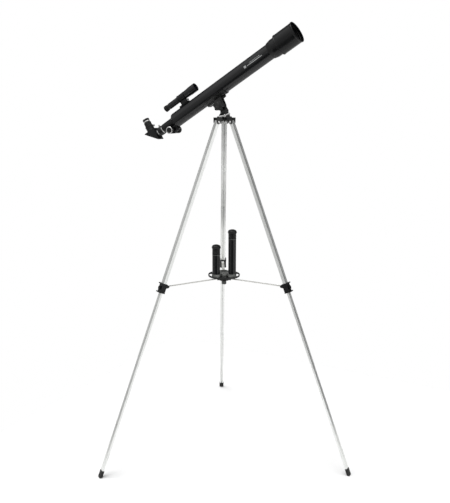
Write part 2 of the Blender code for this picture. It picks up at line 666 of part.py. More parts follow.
def dew_shield(tube):
    rear, front = SHIELD_REAR, SHIELD_FRONT
    profile = [
        (0.0350, front), (0.0354, front - 0.002), (0.0348, front - 0.0045),
        (SHIELD_R, front - 0.006), (SHIELD_R, rear + 0.004), (0.0346, rear + 0.0035),
        (0.0346, rear + 0.0005), (0.0341, rear), (CELL_R + GAP, rear),
        (CELL_R + GAP, CELL_FRONT + GAP), (0.0318, CELL_FRONT + 0.002), (0.0325, front),
    ]
    turned("dew_shield", profile, "X", BLACK_PLASTIC, tube, sides=ROUND, closed=True)


def focuser_housing(tube):
    """A plug in the tube's rear with a sleeve for the drawtube and a box for the pinion."""
    plug = TUBE_R - TUBE_WALL - GAP
    bore = DRAW_R + GAP
    profile = [
        (plug, REAR + 0.022), (plug, REAR - GAP), (TUBE_R - 0.0004, REAR - GAP),
        (TUBE_R - 0.0016, REAR - 0.004), (0.0165, REAR - 0.0105), (SLEEVE_R, SLEEVE_END + 0.002),
        (SLEEVE_R - 0.0006, SLEEVE_END), (bore, SLEEVE_END), (bore, REAR + 0.022),
    ]
    housing = turned("focuser_housing", profile, "X", BLACK_PLASTIC, tube, sides=ROUND, closed=True)
    cheek = box("pinion_cheeks", (SHAFT_X - 0.0105, -0.0115, SHAFT_N - 0.0065),
                (REAR - 0.0035, 0.0115, -DRAW_R - 0.0012), None, tube)
    rack_way = box("rack_way", (SLEEVE_END - 0.01, -0.0029, -DRAW_R - 0.0042),
                   (REAR + 0.03, 0.0029, -0.010), None, tube)
    pinion_way = rod("pinion_way", PINION_R + 0.0012, -0.0056, 0.0056, "Y", None, tube,
                     (SHAFT_X, 0, SHAFT_N), sides=SMALL)
    below = box("pinion_mouth", (SHAFT_X - PINION_R - 0.0012, -0.0056, SHAFT_N - 0.02),
                (SHAFT_X + PINION_R + 0.0012, 0.0056, SHAFT_N), None, tube)
    shaft_hole = rod("shaft_hole", 0.0024, -0.03, 0.03, "Y", None, tube, (SHAFT_X, 0, SHAFT_N),
                     sides=12)
    above = box("pinion_throat", (SHAFT_X - PINION_R + 0.0004, -0.0029, SHAFT_N),
                (SHAFT_X + PINION_R - 0.0004, 0.0029, -0.012), None, tube)
    screw_hole = rod("tension_hole", 0.0022, -DRAW_R - 0.02, -DRAW_R - 0.0045, "Z", None, tube,
                     (SHAFT_X + 0.0155, 0, 0), sides=12)
    join(housing, cheek)
    cut(housing, rack_way, pinion_way, below, shaft_hole, above, screw_hole)


def pinion_cover(tube):
    """The plate under the pinion, held on the bottom of its box."""
    top = SHAFT_N - 0.0065 - GAP
    cover = box("pinion_cover", (SHAFT_X - 0.0100, -0.0110, top - 0.0018),
                (SHAFT_X + 0.0100, 0.0110, top), BLACK_PLASTIC, tube)
    dome = rod("cover_dome", 0.0062, -0.0085, 0.0085, "Y", None, tube,
               (SHAFT_X, 0, top + 0.0005), sides=SMALL)
    level = box("cover_level", (-0.05, -0.02, 0), (0.05, 0.02, 0.02), None, tube,
                (SHAFT_X, 0, top))
    return cut(join(cover, dome), level)


def tension_screw(tube):
    """A small screw in front of the pinion box that loads the focuser."""
    top = -DRAW_R - 0.0052
    profile = [(0.0, top), (0.0019, top), (0.0019, SHAFT_N - 0.0065 - GAP),
               (0.0040, SHAFT_N - 0.0065 - GAP), (0.0040, SHAFT_N - 0.0100), (0.0, SHAFT_N - 0.0100)]
    turned("focus_tension_screw", profile, "Z", STEEL, tube, (SHAFT_X + 0.0155, 0, 0), sides=12)


# ---------------------------------------------------------------- focuser
def drawtube(tube):
    """A plated tube with a wider collar at its end, bored for a 24.5 mm barrel."""
    bore = BARREL_R + GAP
    wide = DRAW_R - 0.0008
    profile = [
        (DRAW_R, DRAW_FRONT), (DRAW_R, DRAW_END + COLLAR_LENGTH), (0.0152, DRAW_END + COLLAR_LENGTH),
        (0.0158, DRAW_END + COLLAR_LENGTH - 0.001), (0.0158, DRAW_END + 0.001), (0.0152, DRAW_END),
        (bore, DRAW_END), (bore, DRAW_END + 0.03), (wide, DRAW_END + 0.03), (wide, DRAW_FRONT),
    ]
    draw = turned("drawtube", profile, "X", CHROME, tube, sides=MEDIUM, closed=True)
    hole = rod("drawtube_screw_hole", 0.0019, 0.0, 0.03, "Z", None, tube,
               (DRAW_END + COLLAR_LENGTH / 2, 0, 0), sides=12)
    return cut(draw, hole)


def drawtube_rack(tube):
    """Teeth along the underside of the drawtube."""
    pitch = 2 * pi * PINION_R / PINION_TEETH
    top = -DRAW_R - GAP
    root, tip = top - 0.0012, top - 0.0028
    count = 36
    start = SHAFT_X - 3.5 * pitch
    outline = [(start, top)]
    for i in range(count):
        outline += [(start + pitch * i, root), (start + pitch * (i + 0.5), tip)]
    outline += [(start + pitch * count, root), (start + pitch * count, top)]
    plate("drawtube_rack", outline, -0.0025, 0.0025, "Y", BRASS, tube)


def thumbscrew(name, tube, location, rotation=(0, 0, 0), bottom=0.0130, head=0.0170, r=0.0034):
    """A small knurled screw; its shank starts at one radius and its head sits at another."""
    profile = [(0.0, head + 0.0052), (r - 0.0006, head + 0.0052), (r, head + 0.0046),
               (r, head + 0.0008), (r - 0.0006, head), (0.0016, head), (0.0016, bottom),
               (0.0, bottom)]
    return turned(name, profile, "Z", CHROME, tube, location, rotation, sides=12)


def focus_shaft(tube):
    """The pinion and the shaft it turns on, along the focus axis."""
    root, tip = PINION_R - 0.0010, PINION_R + 0.0005
    outline = []
    for i in range(PINION_TEETH):
        for part, r in ((0.0, root), (0.5, tip)):
            turn = 2 * pi * (i + part) / PINION_TEETH + pi / 2
            outline.append((r * cos(turn), r * sin(turn)))
    pinion = plate("pinion_shaft", outline, -0.0050, 0.0050, "Y", STEEL, tube,
                   (SHAFT_X, 0, SHAFT_N))
    shaft = rod("shaft_core", 0.0021, -0.026, 0.026, "Y", None, tube, (SHAFT_X, 0, SHAFT_N),
                sides=12)
    return join(pinion, shaft)


def focus_knob(name, side, tube):
    """A fluted knob with a plated rim and a cap on its outer face."""
    far = 0.034
    r = 0.0125 if side < 0 else 0.0118
    lobes = lobed(12, r, 0.0010, 1)
    low, high = (0.0200, far - 0.0015) if side > 0 else (-far + 0.0015, -0.0200)
    knob = plate(name, lobes, low, high, "Y", BLACK_PLASTIC, tube, (SHAFT_X, 0, SHAFT_N))
    neck_low, neck_high = (0.0122, 0.021) if side > 0 else (-0.021, -0.0122)
    neck = rod(name + "_neck", 0.0065, neck_low, neck_high, "Y", None, tube,
               (SHAFT_X, 0, SHAFT_N))
    cap_low, cap_high = (far - 0.002, far) if side > 0 else (-far, -far + 0.002)
    cap = rod(name + "_cap", 0.0095, cap_low, cap_high, "Y", None, tube, (SHAFT_X, 0, SHAFT_N),
              sides=MEDIUM)
    bore_low, bore_high = (0.0, 0.0265) if side > 0 else (-0.0265, 0.0)
    bore = rod(name + "_bore", 0.0024, bore_low, bore_high, "Y", None, tube,
               (SHAFT_X, 0, SHAFT_N), sides=12)
    return cut(join(knob, neck, cap), bore)


# ---------------------------------------------------------------- diagonal and eyepiece
def diagonal(tube):
    """A right-angle prism box: a barrel into the drawtube, and a socket that points up."""
    h = PRISM_HALF
    nose = PRISM_X + h
    top = h
    outline = [(-h - 0.002, top), (-h - 0.002, top - 0.002), (h - 0.002, -h - 0.002), (h, -h - 0.002),
               (h, top)]
    housing = plate("diagonal_housing", outline, -PRISM_W / 2, PRISM_W / 2, "Y", BLACK_PLASTIC,
                    tube, (PRISM_X, 0, 0))
    socket = rod("diagonal_socket", 0.0150, top - 0.002, top + 0.018, "Z", None, tube,
                 (PRISM_X, 0, 0), sides=MEDIUM)
    socket_bore = rod("diagonal_socket_bore", BARREL_R + GAP, top - 0.0025, top + 0.03, "Z", None,
                      tube, (PRISM_X, 0, 0), sides=MEDIUM)
    nose_bore = rod("diagonal_nose_bore", BARREL_R - 0.0010, h - 0.008, h + 0.01, "X", None, tube,
                    (PRISM_X, 0, 0), sides=MEDIUM)
    inset = 0.0035
    hollow_outline = [(-h + 0.006, top - 0.0026), (h - 0.0045, -h + 0.0055),
                      (h - 0.0045, top - 0.0026)]
    hollow = plate("diagonal_hollow", hollow_outline, -PRISM_W / 2 + inset, PRISM_W / 2 - inset, "Y",
                   None, tube, (PRISM_X, 0, 0))
    light_way = rod("diagonal_light_way", 0.0092, top - 0.006, top + 0.002, "Z", None, tube,
                    (PRISM_X, 0, 0), sides=MEDIUM)
    screw = rod("diagonal_screw_hole", 0.0019, 0.0, 0.03, "X", None, tube,
                (PRISM_X, 0, top + 0.011), sides=12)
    cut(join(housing, socket), socket_bore, hollow, nose_bore, light_way, screw)

    cut_in = 0.0006
    prism_outline = [(-h + 0.006 + 2.6 * cut_in, top - 0.0026 - cut_in),
                     (h - 0.0045 - cut_in, -h + 0.0055 + 2.6 * cut_in),
                     (h - 0.0045 - cut_in, top - 0.0026 - cut_in)]
    plate("diagonal_prism", prism_outline, -PRISM_W / 2 + inset + GAP, PRISM_W / 2 - inset - GAP,
          "Y", GLASS, tube, (PRISM_X, 0, 0))

    length = 0.024
    barrel = [(BARREL_R, nose + length), (BARREL_R, nose + 0.0045), (0.0142, nose + 0.0045),
              (0.0142, nose + GAP), (0.0108, nose + GAP), (0.0108, nose + length)]
    turned("diagonal_barrel", barrel, "X", CHROME, tube, sides=MEDIUM, closed=True)
    thumbscrew("diagonal_thumbscrew", tube, (PRISM_X, 0, top + 0.011), (0, pi / 2, 0))


def eyepiece(tube):
    """A short barrel in the diagonal's socket, a wider body, a neck and a flared eyecup."""
    seat = PRISM_HALF + 0.018
    bottom = seat - 0.0165
    top = 0.0680
    profile = [
        (0.0115, top), (0.0120, top - 0.001), (0.0120, top - 0.006), (0.0098, top - 0.0075),
        (0.0098, top - 0.0110), (0.0120, top - 0.0120), (0.0130, top - 0.0145), (0.0130, seat + GAP),
        (BARREL_R, seat + GAP), (BARREL_R, bottom), (0.0105, bottom), (0.0105, top - 0.0155),
        (0.0066, top - 0.0155), (0.0066, top - 0.0045), (0.0090, top),
    ]
    turned("eyepiece", profile, "Z", BLACK_PLASTIC, tube, (PRISM_X, 0, 0), sides=MEDIUM, closed=True)
    low, high = top - 0.0125, top - 0.0085
    lens = [(0.0, high), (0.0063, high - 0.0008), (0.0063, low), (0.0, low)]
    turned("eye_lens", lens, "Z", GLASS, tube, (PRISM_X, 0, 0), sides=SMALL)


# ---------------------------------------------------------------- finder
def finder(tube):
    """A small straight sighting scope on a ring, a stalk and a foot on the tube."""
    n = FINDER_N
    inner = 0.0088
    rear, front, stalk = FINDER_REAR, FINDER_FRONT, FINDER_STALK
    profile = [
        (0.0140, front), (0.0142, front - 0.001), (0.0142, front - 0.026), (0.0128, front - 0.034),
        (0.0105, front - 0.044), (0.0105, rear + 0.018), (inner, rear + 0.018),
        (inner, front - 0.040), (0.0121, front - 0.030), (0.0121, front),
    ]
    turned("finder_tube", profile, "X", BLACK_GLOSS, tube, (0, 0, n), sides=MEDIUM, closed=True)
    lens = [(0.0, front - 0.0090), (0.0118, front - 0.0105), (0.0118, front - 0.0130),
            (0.0, front - 0.0130)]
    turned("finder_objective", lens, "X", GLASS, tube, (0, 0, n), sides=MEDIUM)
    eye = [
        (0.0085, rear + 0.034), (0.0085, rear + 0.0125), (0.0105, rear + 0.0115),
        (0.0105, rear + 0.0048), (0.0109, rear + 0.0040), (0.0109, rear + 0.0004),
        (0.0105, rear), (0.0050, rear), (0.0050, rear + 0.010), (0.0072, rear + 0.012),
        (0.0072, rear + 0.034),
    ]
    turned("finder_eyepiece", eye, "X", BLACK_PLASTIC, tube, (0, 0, n), sides=MEDIUM, closed=True)

    hold = ring("finder_bracket", 0.0132, 0.0105 + GAP, stalk - 0.015, stalk + 0.015, "X",
                BLACK_PLASTIC, tube, (0, 0, n), sides=MEDIUM)
    post = box("finder_post", (-0.0125, -0.0045, 0.0285), (0.0125, 0.0045, n - 0.0108), None, tube,
               (stalk, 0, 0))
    foot_outline = arc(0, 0, TUBE_R + 0.0050, 62, 118, 6) + arc(0, 0, TUBE_R + GAP, 118, 62, 6)
    foot = plate("finder_foot", foot_outline, stalk - 0.019, stalk + 0.019, "X", None, tube)
    screw_hole = rod("finder_screw_hole", 0.0019, 0.004, 0.02, "X", None, tube,
                     (stalk, 0, 0.0345), sides=12)
    cut(join(hold, post, foot), screw_hole)
    thumbscrew("finder_thumbscrew", tube, (stalk, 0, 0.0345), (0, pi / 2, 0), bottom=0.0050,
               head=0.0150, r=0.0036)


# ---------------------------------------------------------------- assembly
def build():
    tripod = empty("tripod_axis", (TRIPOD_X, 0, 0))
    tripod_head(tripod)
    for number, angle in LEG_ANGLES.items():
        turn = radians(angle)
        at = (PIVOT_R * cos(turn), PIVOT_R * sin(turn), PIVOT_Z)
        hinge = empty(f"leg_{number}_bolt_axis", at, (0, 0, turn), tripod)
        leg_bolt(number, hinge)
        frame = empty(f"leg_{number}_axis", at, (0, -LEAN, turn), tripod)
        leg_cap(number, frame)
        upper_leg(number, frame)
        leg_collar(number, frame)
        leg_lock_screw(number, frame)
        lower_leg(number, frame)
        leg_foot(number, frame)
        inner = (BRACE_IN_R * cos(turn), BRACE_IN_R * sin(turn), BRACE_Z)
        brace(number, empty(f"brace_{number}_axis", inner, (0, 0, turn), tripod))

    spreader_hub(tripod)
    accessory_tray(tripod)
    tray_knob(tripod)
    standing_lens("barlow_lens", LEG_ANGLES[3], BARLOW_TOP, tripod)
    standing_lens("erecting_lens", LEG_ANGLES[1], ERECTOR_TOP, tripod)

    wing_bolt(azimuth_base(tripod))
    alt_fixed = empty("altitude_bolt_axis", (ALT_X, 0, ALT_Z))
    altitude_bolt(alt_fixed)
    altitude_knob(alt_fixed)

    mount = empty("altitude_axis", (ALT_X, 0, ALT_Z), (0, -TILT, 0))
    saddle_bracket(mount)
    tube = empty("optical_axis", (0, 0, AXIS_RISE), parent=mount)
    main_tube(tube)
    objective(tube)
    dew_shield(tube)
    focuser_housing(tube)
    pinion_cover(tube)
    tension_screw(tube)
    drawtube(tube)
    drawtube_rack(tube)
    thumbscrew("drawtube_thumbscrew", tube, (DRAW_END + COLLAR_LENGTH / 2, 0, 0))
    focus_shaft(tube)
    focus_knob("focus_knob_right", -1, tube)
    focus_knob("focus_knob_left", 1, tube)
    diagonal(tube)
    eyepiece(tube)
    finder(tube)
    shade_round_pieces()


build()
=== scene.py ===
"""The looks of the telescope on its tripod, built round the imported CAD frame.

Metres, in the frame of the CAD. Each piece is a fine mesh that stands for one CAD node and
rides on that node's body. Lengths along the telescope are measured along its optical axis,
from where the altitude axis' perpendicular meets it.
"""

from math import atan2, cos, hypot, pi, radians, sin

import bmesh
import bpy
from mathutils import Matrix, Vector


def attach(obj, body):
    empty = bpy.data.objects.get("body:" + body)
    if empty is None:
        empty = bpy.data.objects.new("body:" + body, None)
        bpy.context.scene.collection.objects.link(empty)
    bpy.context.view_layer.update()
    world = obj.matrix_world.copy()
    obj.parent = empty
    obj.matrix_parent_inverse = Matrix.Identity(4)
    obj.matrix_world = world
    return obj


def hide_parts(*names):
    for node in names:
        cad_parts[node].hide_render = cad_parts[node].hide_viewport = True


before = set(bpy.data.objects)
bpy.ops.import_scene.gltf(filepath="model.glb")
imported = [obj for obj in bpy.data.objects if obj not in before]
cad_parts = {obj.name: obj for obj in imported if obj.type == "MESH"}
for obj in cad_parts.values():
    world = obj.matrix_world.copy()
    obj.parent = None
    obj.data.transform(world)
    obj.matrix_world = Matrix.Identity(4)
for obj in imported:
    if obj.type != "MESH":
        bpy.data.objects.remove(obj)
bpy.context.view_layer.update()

# ---- dimensions, as in the CAD
GAP = 0.0003
TRIPOD_X = -0.0786
LEGS = {1: 0.0, 2: 120.0, 3: 240.0}
PIVOT_R, PIVOT_Z, FOOT_R = 0.0285, 1.165, 0.484
LEAN = atan2(FOOT_R - PIVOT_R, PIVOT_Z)
LEG = hypot(FOOT_R - PIVOT_R, PIVOT_Z)
UPPER_W, UPPER_D = 0.0186, 0.0106
LOWER_W, LOWER_D = 0.0152, 0.0074
WALL, SEAM = 0.0012, 0.001
UPPER_TOP = 0.0046
COLLAR_TOP, COLLAR_BOTTOM, COLLAR_X, COLLAR_Y = -0.565, -0.598, 0.0086, UPPER_W / 2 + 0.0026
UPPER_END = COLLAR_BOTTOM + 0.009
LOWER_TOP = -0.52
FOOT_TOP = LEG - 0.025
EAR_Y, EAR_T, EAR_R = UPPER_W / 2 + 0.0004, 0.0032, 0.0068
BRACE_Z, BRACE_OUT, BRACE_IN = 0.6267, 0.2225, 0.026
BRACE_W, BRACE_T, EYE_R, TRUNNION = 0.01, 0.0016, 0.003, 0.0015
HUB_BOTTOM, HUB_TOP, HUB_R, HUB_REACH = 0.621, 0.634, 0.022, 0.031
SLOT_R, SLOT_TOP = 0.0075, BRACE_Z + 0.0057
TRAY_Z, TRAY_R = HUB_TOP + GAP, 0.0555
CUP_R, CUP_BORE = 0.032, 0.0131
CUP_FLOOR = TRAY_Z + 0.0024
BARLOW_TOP, ERECTOR_TOP = 0.75, 0.803
LENS_BODY_R, LENS_SHOULDER = 0.0138, TRAY_Z + 0.013
HEAD_TOP, HEAD_BOTTOM = 1.183, 1.1695
LOBE_TOP, LOBE_T, LOBE_REACH = 1.1796, 0.0036, 0.0355
ALT_X, ALT_Z, TILT, RISE = TRIPOD_X - 0.008, 1.2185, radians(31.3), 0.053
TONGUE, FORK = 0.0055, 0.0094
CROSSING = 0.041
TUBE_R, TUBE_WALL = 0.025, 0.0011
REAR, FRONT = -0.223 + CROSSING, 0.222 + CROSSING
CELL_REAR, CELL_FRONT, CELL_R = 0.195 + CROSSING, 0.238 + CROSSING, 0.03
SHIELD_REAR, SHIELD_FRONT, SHIELD_R = 0.227 + CROSSING, 0.298 + CROSSING, 0.034
LENS_R, SEAT_R, LENS_SEAT = 0.0257, 0.0234, FRONT + 0.0026
SLEEVE_END, SLEEVE_R = -0.283 + CROSSING, 0.0155
DRAW_R, DRAW_END, DRAW_FRONT = 0.0133, -0.303 + CROSSING, -0.16 + CROSSING
SHAFT_X, SHAFT_N = -0.249 + CROSSING, -0.0245
COVER_N = SHAFT_N - 0.0065 - GAP
PRISM_X, PRISM_HALF, PRISM_W = -0.334 + CROSSING, 0.0215, 0.03
SOCKET_TOP = PRISM_HALF + 0.018
BARREL_R = 0.01225
FINDER_N, FINDER_R = 0.053, 0.0105
FINDER_REAR, FINDER_FRONT, FINDER_STALK = -0.241 + CROSSING, -0.097 + CROSSING, -0.163 + CROSSING
WING_ANGLE, WING_Z = -60.0, 1.1858
WING_OUT = hypot(LOBE_REACH, EAR_Y + EAR_T + GAP) + 0.0006

TRIPOD = Matrix.Translation((TRIPOD_X, 0, 0))
ALTITUDE = Matrix.Translation((ALT_X, 0, ALT_Z))
MOUNT = ALTITUDE @ Matrix.Rotation(-TILT, 4, "Y")
TUBE = MOUNT @ Matrix.Translation((0, 0, RISE))


def at(x=0.0, y=0.0, z=0.0):
    return Matrix.Translation((x, y, z))


def rot(degrees, axis):
    return Matrix.Rotation(radians(degrees), 4, axis)


def spoke(number):
    return TRIPOD @ rot(LEGS[number], "Z")


def leg_frame(number):
    return spoke(number) @ at(PIVOT_R, 0, PIVOT_Z) @ Matrix.Rotation(-LEAN, 4, "Y")


# ---- materials
def node(tree, kind, inputs=None, **settings):
    made = tree.nodes.new(kind)
    for key, value in settings.items():
        setattr(made, key, value)
    for key, value in (inputs or {}).items():
        socket = made.inputs[key]
        if isinstance(value, bpy.types.NodeSocket):
            tree.links.new(value, socket)
        else:
            socket.default_value = value
    return made


def ramp(tree, value, start, end, low=0.0, high=1.0, **settings):
    """Maps start..end to low..high and holds the value beyond both ends."""
    inputs = {"Value": value, "From Min": start, "From Max": end, "To Min": low, "To Max": high}
    return node(tree, "ShaderNodeMapRange", inputs, **settings).outputs[0]


def noise(tree, vector, scale, detail, roughness=0.5):
    inputs = {"Vector": vector, "Scale": scale, "Detail": detail, "Roughness": roughness}
    return node(tree, "ShaderNodeTexNoise", inputs).outputs["Fac"]


def maths(tree, operation, a, b, **settings):
    return node(tree, "ShaderNodeMath", {0: a, 1: b}, operation=operation, **settings).outputs[0]


def mix(tree, share, first, second):
    return node(tree, "ShaderNodeMix", {0: share, 6: first, 7: second}, data_type="RGBA").outputs[2]


SCRATCH_SCALE, SCRATCH_TURN = (60, 1100, 300), (0.4, 0.7, 0.2)
DUST_SCALE, DUST_COLOUR = 420.0, (0.35, 0.35, 0.34, 1)


def worn_places(tree, coords, mottle, amount):
    """Fine scratches, and edges rubbed where the mottle is high."""
    lines = node(tree, "ShaderNodeMapping",
                 {"Vector": coords, "Scale": SCRATCH_SCALE, "Rotation": SCRATCH_TURN}).outputs["Vector"]
    scratch = ramp(tree, noise(tree, lines, 1.0, 2.0), 0.68, 0.78)
    edge = ramp(tree, node(tree, "ShaderNodeNewGeometry").outputs["Pointiness"], 0.54, 0.64)
    rubbed = maths(tree, "MULTIPLY", edge, mottle)
    return maths(tree, "MULTIPLY", maths(tree, "MAXIMUM", scratch, rubbed), amount)


def finish(name, dark, light, rough, metallic=0.0, grain=(1400, 0.00002, 0.4), blotch=18,
           stretch=(1, 1, 1), wear=(0.3, 0.3, 0.3), wear_amount=0.15, specks=0.0, gloss=0.5):
    """A procedural finish: mottled colour and roughness, a fine relief, scratches and worn edges.

    rough holds the lowest and highest roughness; grain is (scale, relief in metres, strength).
    """
    mat = bpy.data.materials.new(name)
    mat.use_nodes = True
    tree = mat.node_tree
    shader = tree.nodes["Principled BSDF"]
    shader.inputs["Metallic"].default_value = metallic
    shader.inputs["Specular IOR Level"].default_value = gloss
    coords = node(tree, "ShaderNodeTexCoord").outputs["Object"]
    along = node(tree, "ShaderNodeMapping", {"Vector": coords, "Scale": stretch}).outputs["Vector"]
    fine = noise(tree, along, grain[0], 5.0, 0.65)
    broad = noise(tree, coords, blotch, 4.0, 0.55)
    mottle = ramp(tree, broad, 0.35, 0.65)
    worn = worn_places(tree, coords, mottle, wear_amount)
    colour = mix(tree, mottle, (*dark, 1), (*light, 1))
    colour = mix(tree, worn, colour, (*wear, 1))
    if specks:
        cells = node(tree, "ShaderNodeTexVoronoi", {"Vector": coords, "Scale": DUST_SCALE})
        dust = ramp(tree, cells.outputs["Distance"], 0.1, 0.05, 0.0, specks)
        colour = mix(tree, dust, colour, DUST_COLOUR)
    tree.links.new(colour, shader.inputs["Base Color"])
    level = ramp(tree, maths(tree, "ADD", fine, broad), 0.7, 1.3, *rough)
    level = maths(tree, "ADD", level, worn, use_clamp=True)
    tree.links.new(level, shader.inputs["Roughness"])
    relief = node(tree, "ShaderNodeBump", {"Height": fine, "Distance": grain[1], "Strength": grain[2]})
    tree.links.new(relief.outputs["Normal"], shader.inputs["Normal"])
    return mat


def glass(name, tint, rough=0.02):
    """Coated optical glass with a faint bloom and a little wear."""
    mat = finish(name, tint, tuple(min(1, c * 1.15) for c in tint), (rough, rough + 0.03),
                 grain=(300, 0.000002, 0.2), blotch=60, wear_amount=0.02)
    shader = mat.node_tree.nodes["Principled BSDF"]
    shader.inputs["Transmission Weight"].default_value = 0.85
    shader.inputs["IOR"].default_value = 1.52
    shader.inputs["Coat Weight"].default_value = 0.6
    shader.inputs["Coat Roughness"].default_value = 0.03
    shader.inputs["Coat Tint"].default_value = (0.55, 0.75, 1.0, 1)
    return mat


GRAINED = {"grain": (2200, 0.00006, 0.5), "specks": 0.08}
PLATED = {"grain": (700, 0.000008, 0.25), "blotch": 60, "wear_amount": 0.2}
TURNED = {"grain": (1500, 0.00001, 0.4), "blotch": 90}
ENAMEL = finish("gloss_black_paint", (0.0026, 0.0029, 0.0035), (0.0042, 0.0046, 0.0055), (0.16, 0.26),
                grain=(900, 0.00003, 0.3), blotch=9, wear=(0.08, 0.08, 0.085), wear_amount=0.12,
                specks=0.12, gloss=0.42)
PLASTIC = finish("moulded_black_plastic", (0.0026, 0.0028, 0.0031), (0.0048, 0.005, 0.0055),
                 (0.22, 0.36), grain=(2600, 0.00005, 0.45), blotch=40, wear=(0.06, 0.06, 0.06),
                 wear_amount=0.12, specks=0.08, gloss=0.28)
GREY_PLASTIC = finish("grained_head_plastic", (0.0075, 0.008, 0.0078), (0.0125, 0.013, 0.0125),
                      (0.3, 0.46), blotch=45, wear=(0.09, 0.09, 0.085), gloss=0.42, **GRAINED)
KNOB_GREY = finish("worn_grey_plastic", (0.055, 0.058, 0.056), (0.095, 0.098, 0.095), (0.34, 0.5),
                   blotch=60, wear=(0.25, 0.25, 0.24), gloss=0.45, **GRAINED)
TRAY_GREY = finish("scuffed_tray_plastic", (0.1, 0.105, 0.1), (0.19, 0.195, 0.185), (0.26, 0.44),
                   blotch=70, wear=(0.35, 0.35, 0.33), **GRAINED)
SMOKED = finish("smoked_nickel", (0.13, 0.135, 0.13), (0.22, 0.225, 0.215), (0.14, 0.28), 1.0,
                wear=(0.4, 0.4, 0.38), **PLATED)
RUBBER = finish("ribbed_rubber", (0.006, 0.006, 0.006), (0.014, 0.0135, 0.013), (0.5, 0.75),
                grain=(1800, 0.00008, 0.6), blotch=70, wear=(0.08, 0.08, 0.075), wear_amount=0.3,
                specks=0.2, gloss=0.35)
ALUMINIUM = finish("satin_aluminium_extrusion", (0.76, 0.77, 0.755), (0.82, 0.83, 0.815), (0.24, 0.33),
                   0.85, grain=(1, 0.00002, 0.3), blotch=14, stretch=(2600, 2600, 18),
                   wear=(0.8, 0.8, 0.78), wear_amount=0.12)
STRIP = finish("pressed_aluminium_strip", (0.66, 0.66, 0.63), (0.76, 0.76, 0.73), (0.28, 0.42), 0.55,
               grain=(1, 0.00003, 0.4), blotch=25, stretch=(20, 2600, 2600), wear=(0.75, 0.75, 0.73),
               wear_amount=0.2)
CHROME = finish("nickel_plate", (0.6, 0.6, 0.59), (0.72, 0.72, 0.71), (0.07, 0.18), 1.0,
                wear=(0.42, 0.41, 0.39), **PLATED)
STEEL = finish("turned_steel", (0.46, 0.46, 0.455), (0.6, 0.6, 0.59), (0.18, 0.34), 1.0,
               wear=(0.7, 0.7, 0.7), wear_amount=0.3, **TURNED)
BLACKED = finish("blackened_screw", (0.01, 0.01, 0.0105), (0.02, 0.02, 0.0205), (0.24, 0.38),
                 wear=(0.2, 0.2, 0.19), wear_amount=0.25, gloss=0.45, **TURNED)
BRASS = finish("cut_brass", (0.5, 0.34, 0.12), (0.64, 0.47, 0.21), (0.22, 0.4), 1.0,
               grain=(1800, 0.00002, 0.4), blotch=90, wear=(0.8, 0.65, 0.36), wear_amount=0.3)
PALE_PRINT = finish("pale_printed_line", (0.34, 0.35, 0.35), (0.46, 0.47, 0.47), (0.35, 0.5),
                    grain=(1600, 0.00001, 0.3), blotch=120, wear=(0.08, 0.08, 0.08), wear_amount=0.3)
LENS = glass("coated_lens_glass", (0.3, 0.42, 0.5))
PRISM = glass("prism_glass", (0.6, 0.68, 0.68))


# ---- shapes
def soften(points, r, steps=3, closed=False):
    """The same outline with each corner rounded off by about r."""
    made = []
    count = len(points)
    for i, p in enumerate(points):
        if not closed and i in (0, count - 1):
            made.append(p)
            continue
        p = Vector(p)
        before, after = Vector(points[i - 1]) - p, Vector(points[(i + 1) % count]) - p
        short = min(r, before.length * 0.45, after.length * 0.45)
        if short < 1e-6:
            made.append(tuple(p))
            continue
        a, b = p + before.normalized() * short, p + after.normalized() * short
        for j in range(steps + 1):
            t = j / steps
            made.append(tuple(a * (1 - t) ** 2 + p * 2 * t * (1 - t) + b * t * t))
    return made


def hold(profile, span=0.0016):
    """The same profile with points near both ends of each long stretch, so wear keeps to the edges."""
    made = [profile[0]]
    for p, q in zip(profile, profile[1:]):
        length = hypot(q[0] - p[0], q[1] - p[1])
        if length > 3 * span:
            for t in (span / length, 1 - span / length):
                made.append((p[0] + (q[0] - p[0]) * t, p[1] + (q[1] - p[1]) * t))
        made.append(q)
    return made


def arc(cx, cy, r, start, end, steps):
    turns = [radians(start + (end - start) * i / steps) for i in range(steps + 1)]
    return [(cx + r * cos(a), cy + r * sin(a)) for a in turns]


def swing(bm, axis):
    """Turns a shape built along Z so that it lies along another axis."""
    order = {"Z": (0, 1, 2), "Y": (0, 2, 1), "X": (2, 0, 1)}[axis]
    for v in bm.verts:
        v.co = [v.co[i] for i in order]
    bmesh.ops.recalc_face_normals(bm, faces=bm.faces)
    return bm


def raised(base, profile):
    """The same profile with its heights counted from base."""
    return [(r, base + h) for r, h in profile]


def lathe(profile, axis="Z", segs=64, closed=False, wave=None, round_off=0.0004):
    """A turned solid from (radius, height) points.

    wave = (flutes, depth, lowest height, highest height) cuts flutes into the outer surface there.
    """
    bm = bmesh.new()
    widest = max(r for r, h in profile)
    profile = soften(profile, round_off, closed=closed)
    profile = hold(profile + profile[:1])[:-1] if closed else hold(profile)
    rows = []
    for r, h in profile:
        row = []
        for i in range(1 if r < 1e-6 else segs):
            a = 2 * pi * i / segs
            out = r
            if wave and wave[2] <= h <= wave[3] and r > widest * 0.8:
                out = r - wave[1] * (0.5 - 0.5 * cos(wave[0] * a))
            row.append(bm.verts.new((out * cos(a), out * sin(a), h)))
        rows.append(row)
    pairs = list(zip(rows, rows[1:]))
    if closed:
        pairs.append((rows[-1], rows[0]))
    for a, b in pairs:
        for i in range(segs):
            j = (i + 1) % segs
            corners = [a[i % len(a)], a[j % len(a)], b[j % len(b)], b[i % len(b)]]
            corners = list(dict.fromkeys(corners))
            if len(corners) > 2:
                bm.faces.new(corners)
    return swing(bm, axis)


def hollow(profile, axis, segs=96, **more):
    """A turned ring or sleeve; its profile closes on itself."""
    return lathe(profile, axis, segs, closed=True, **more)


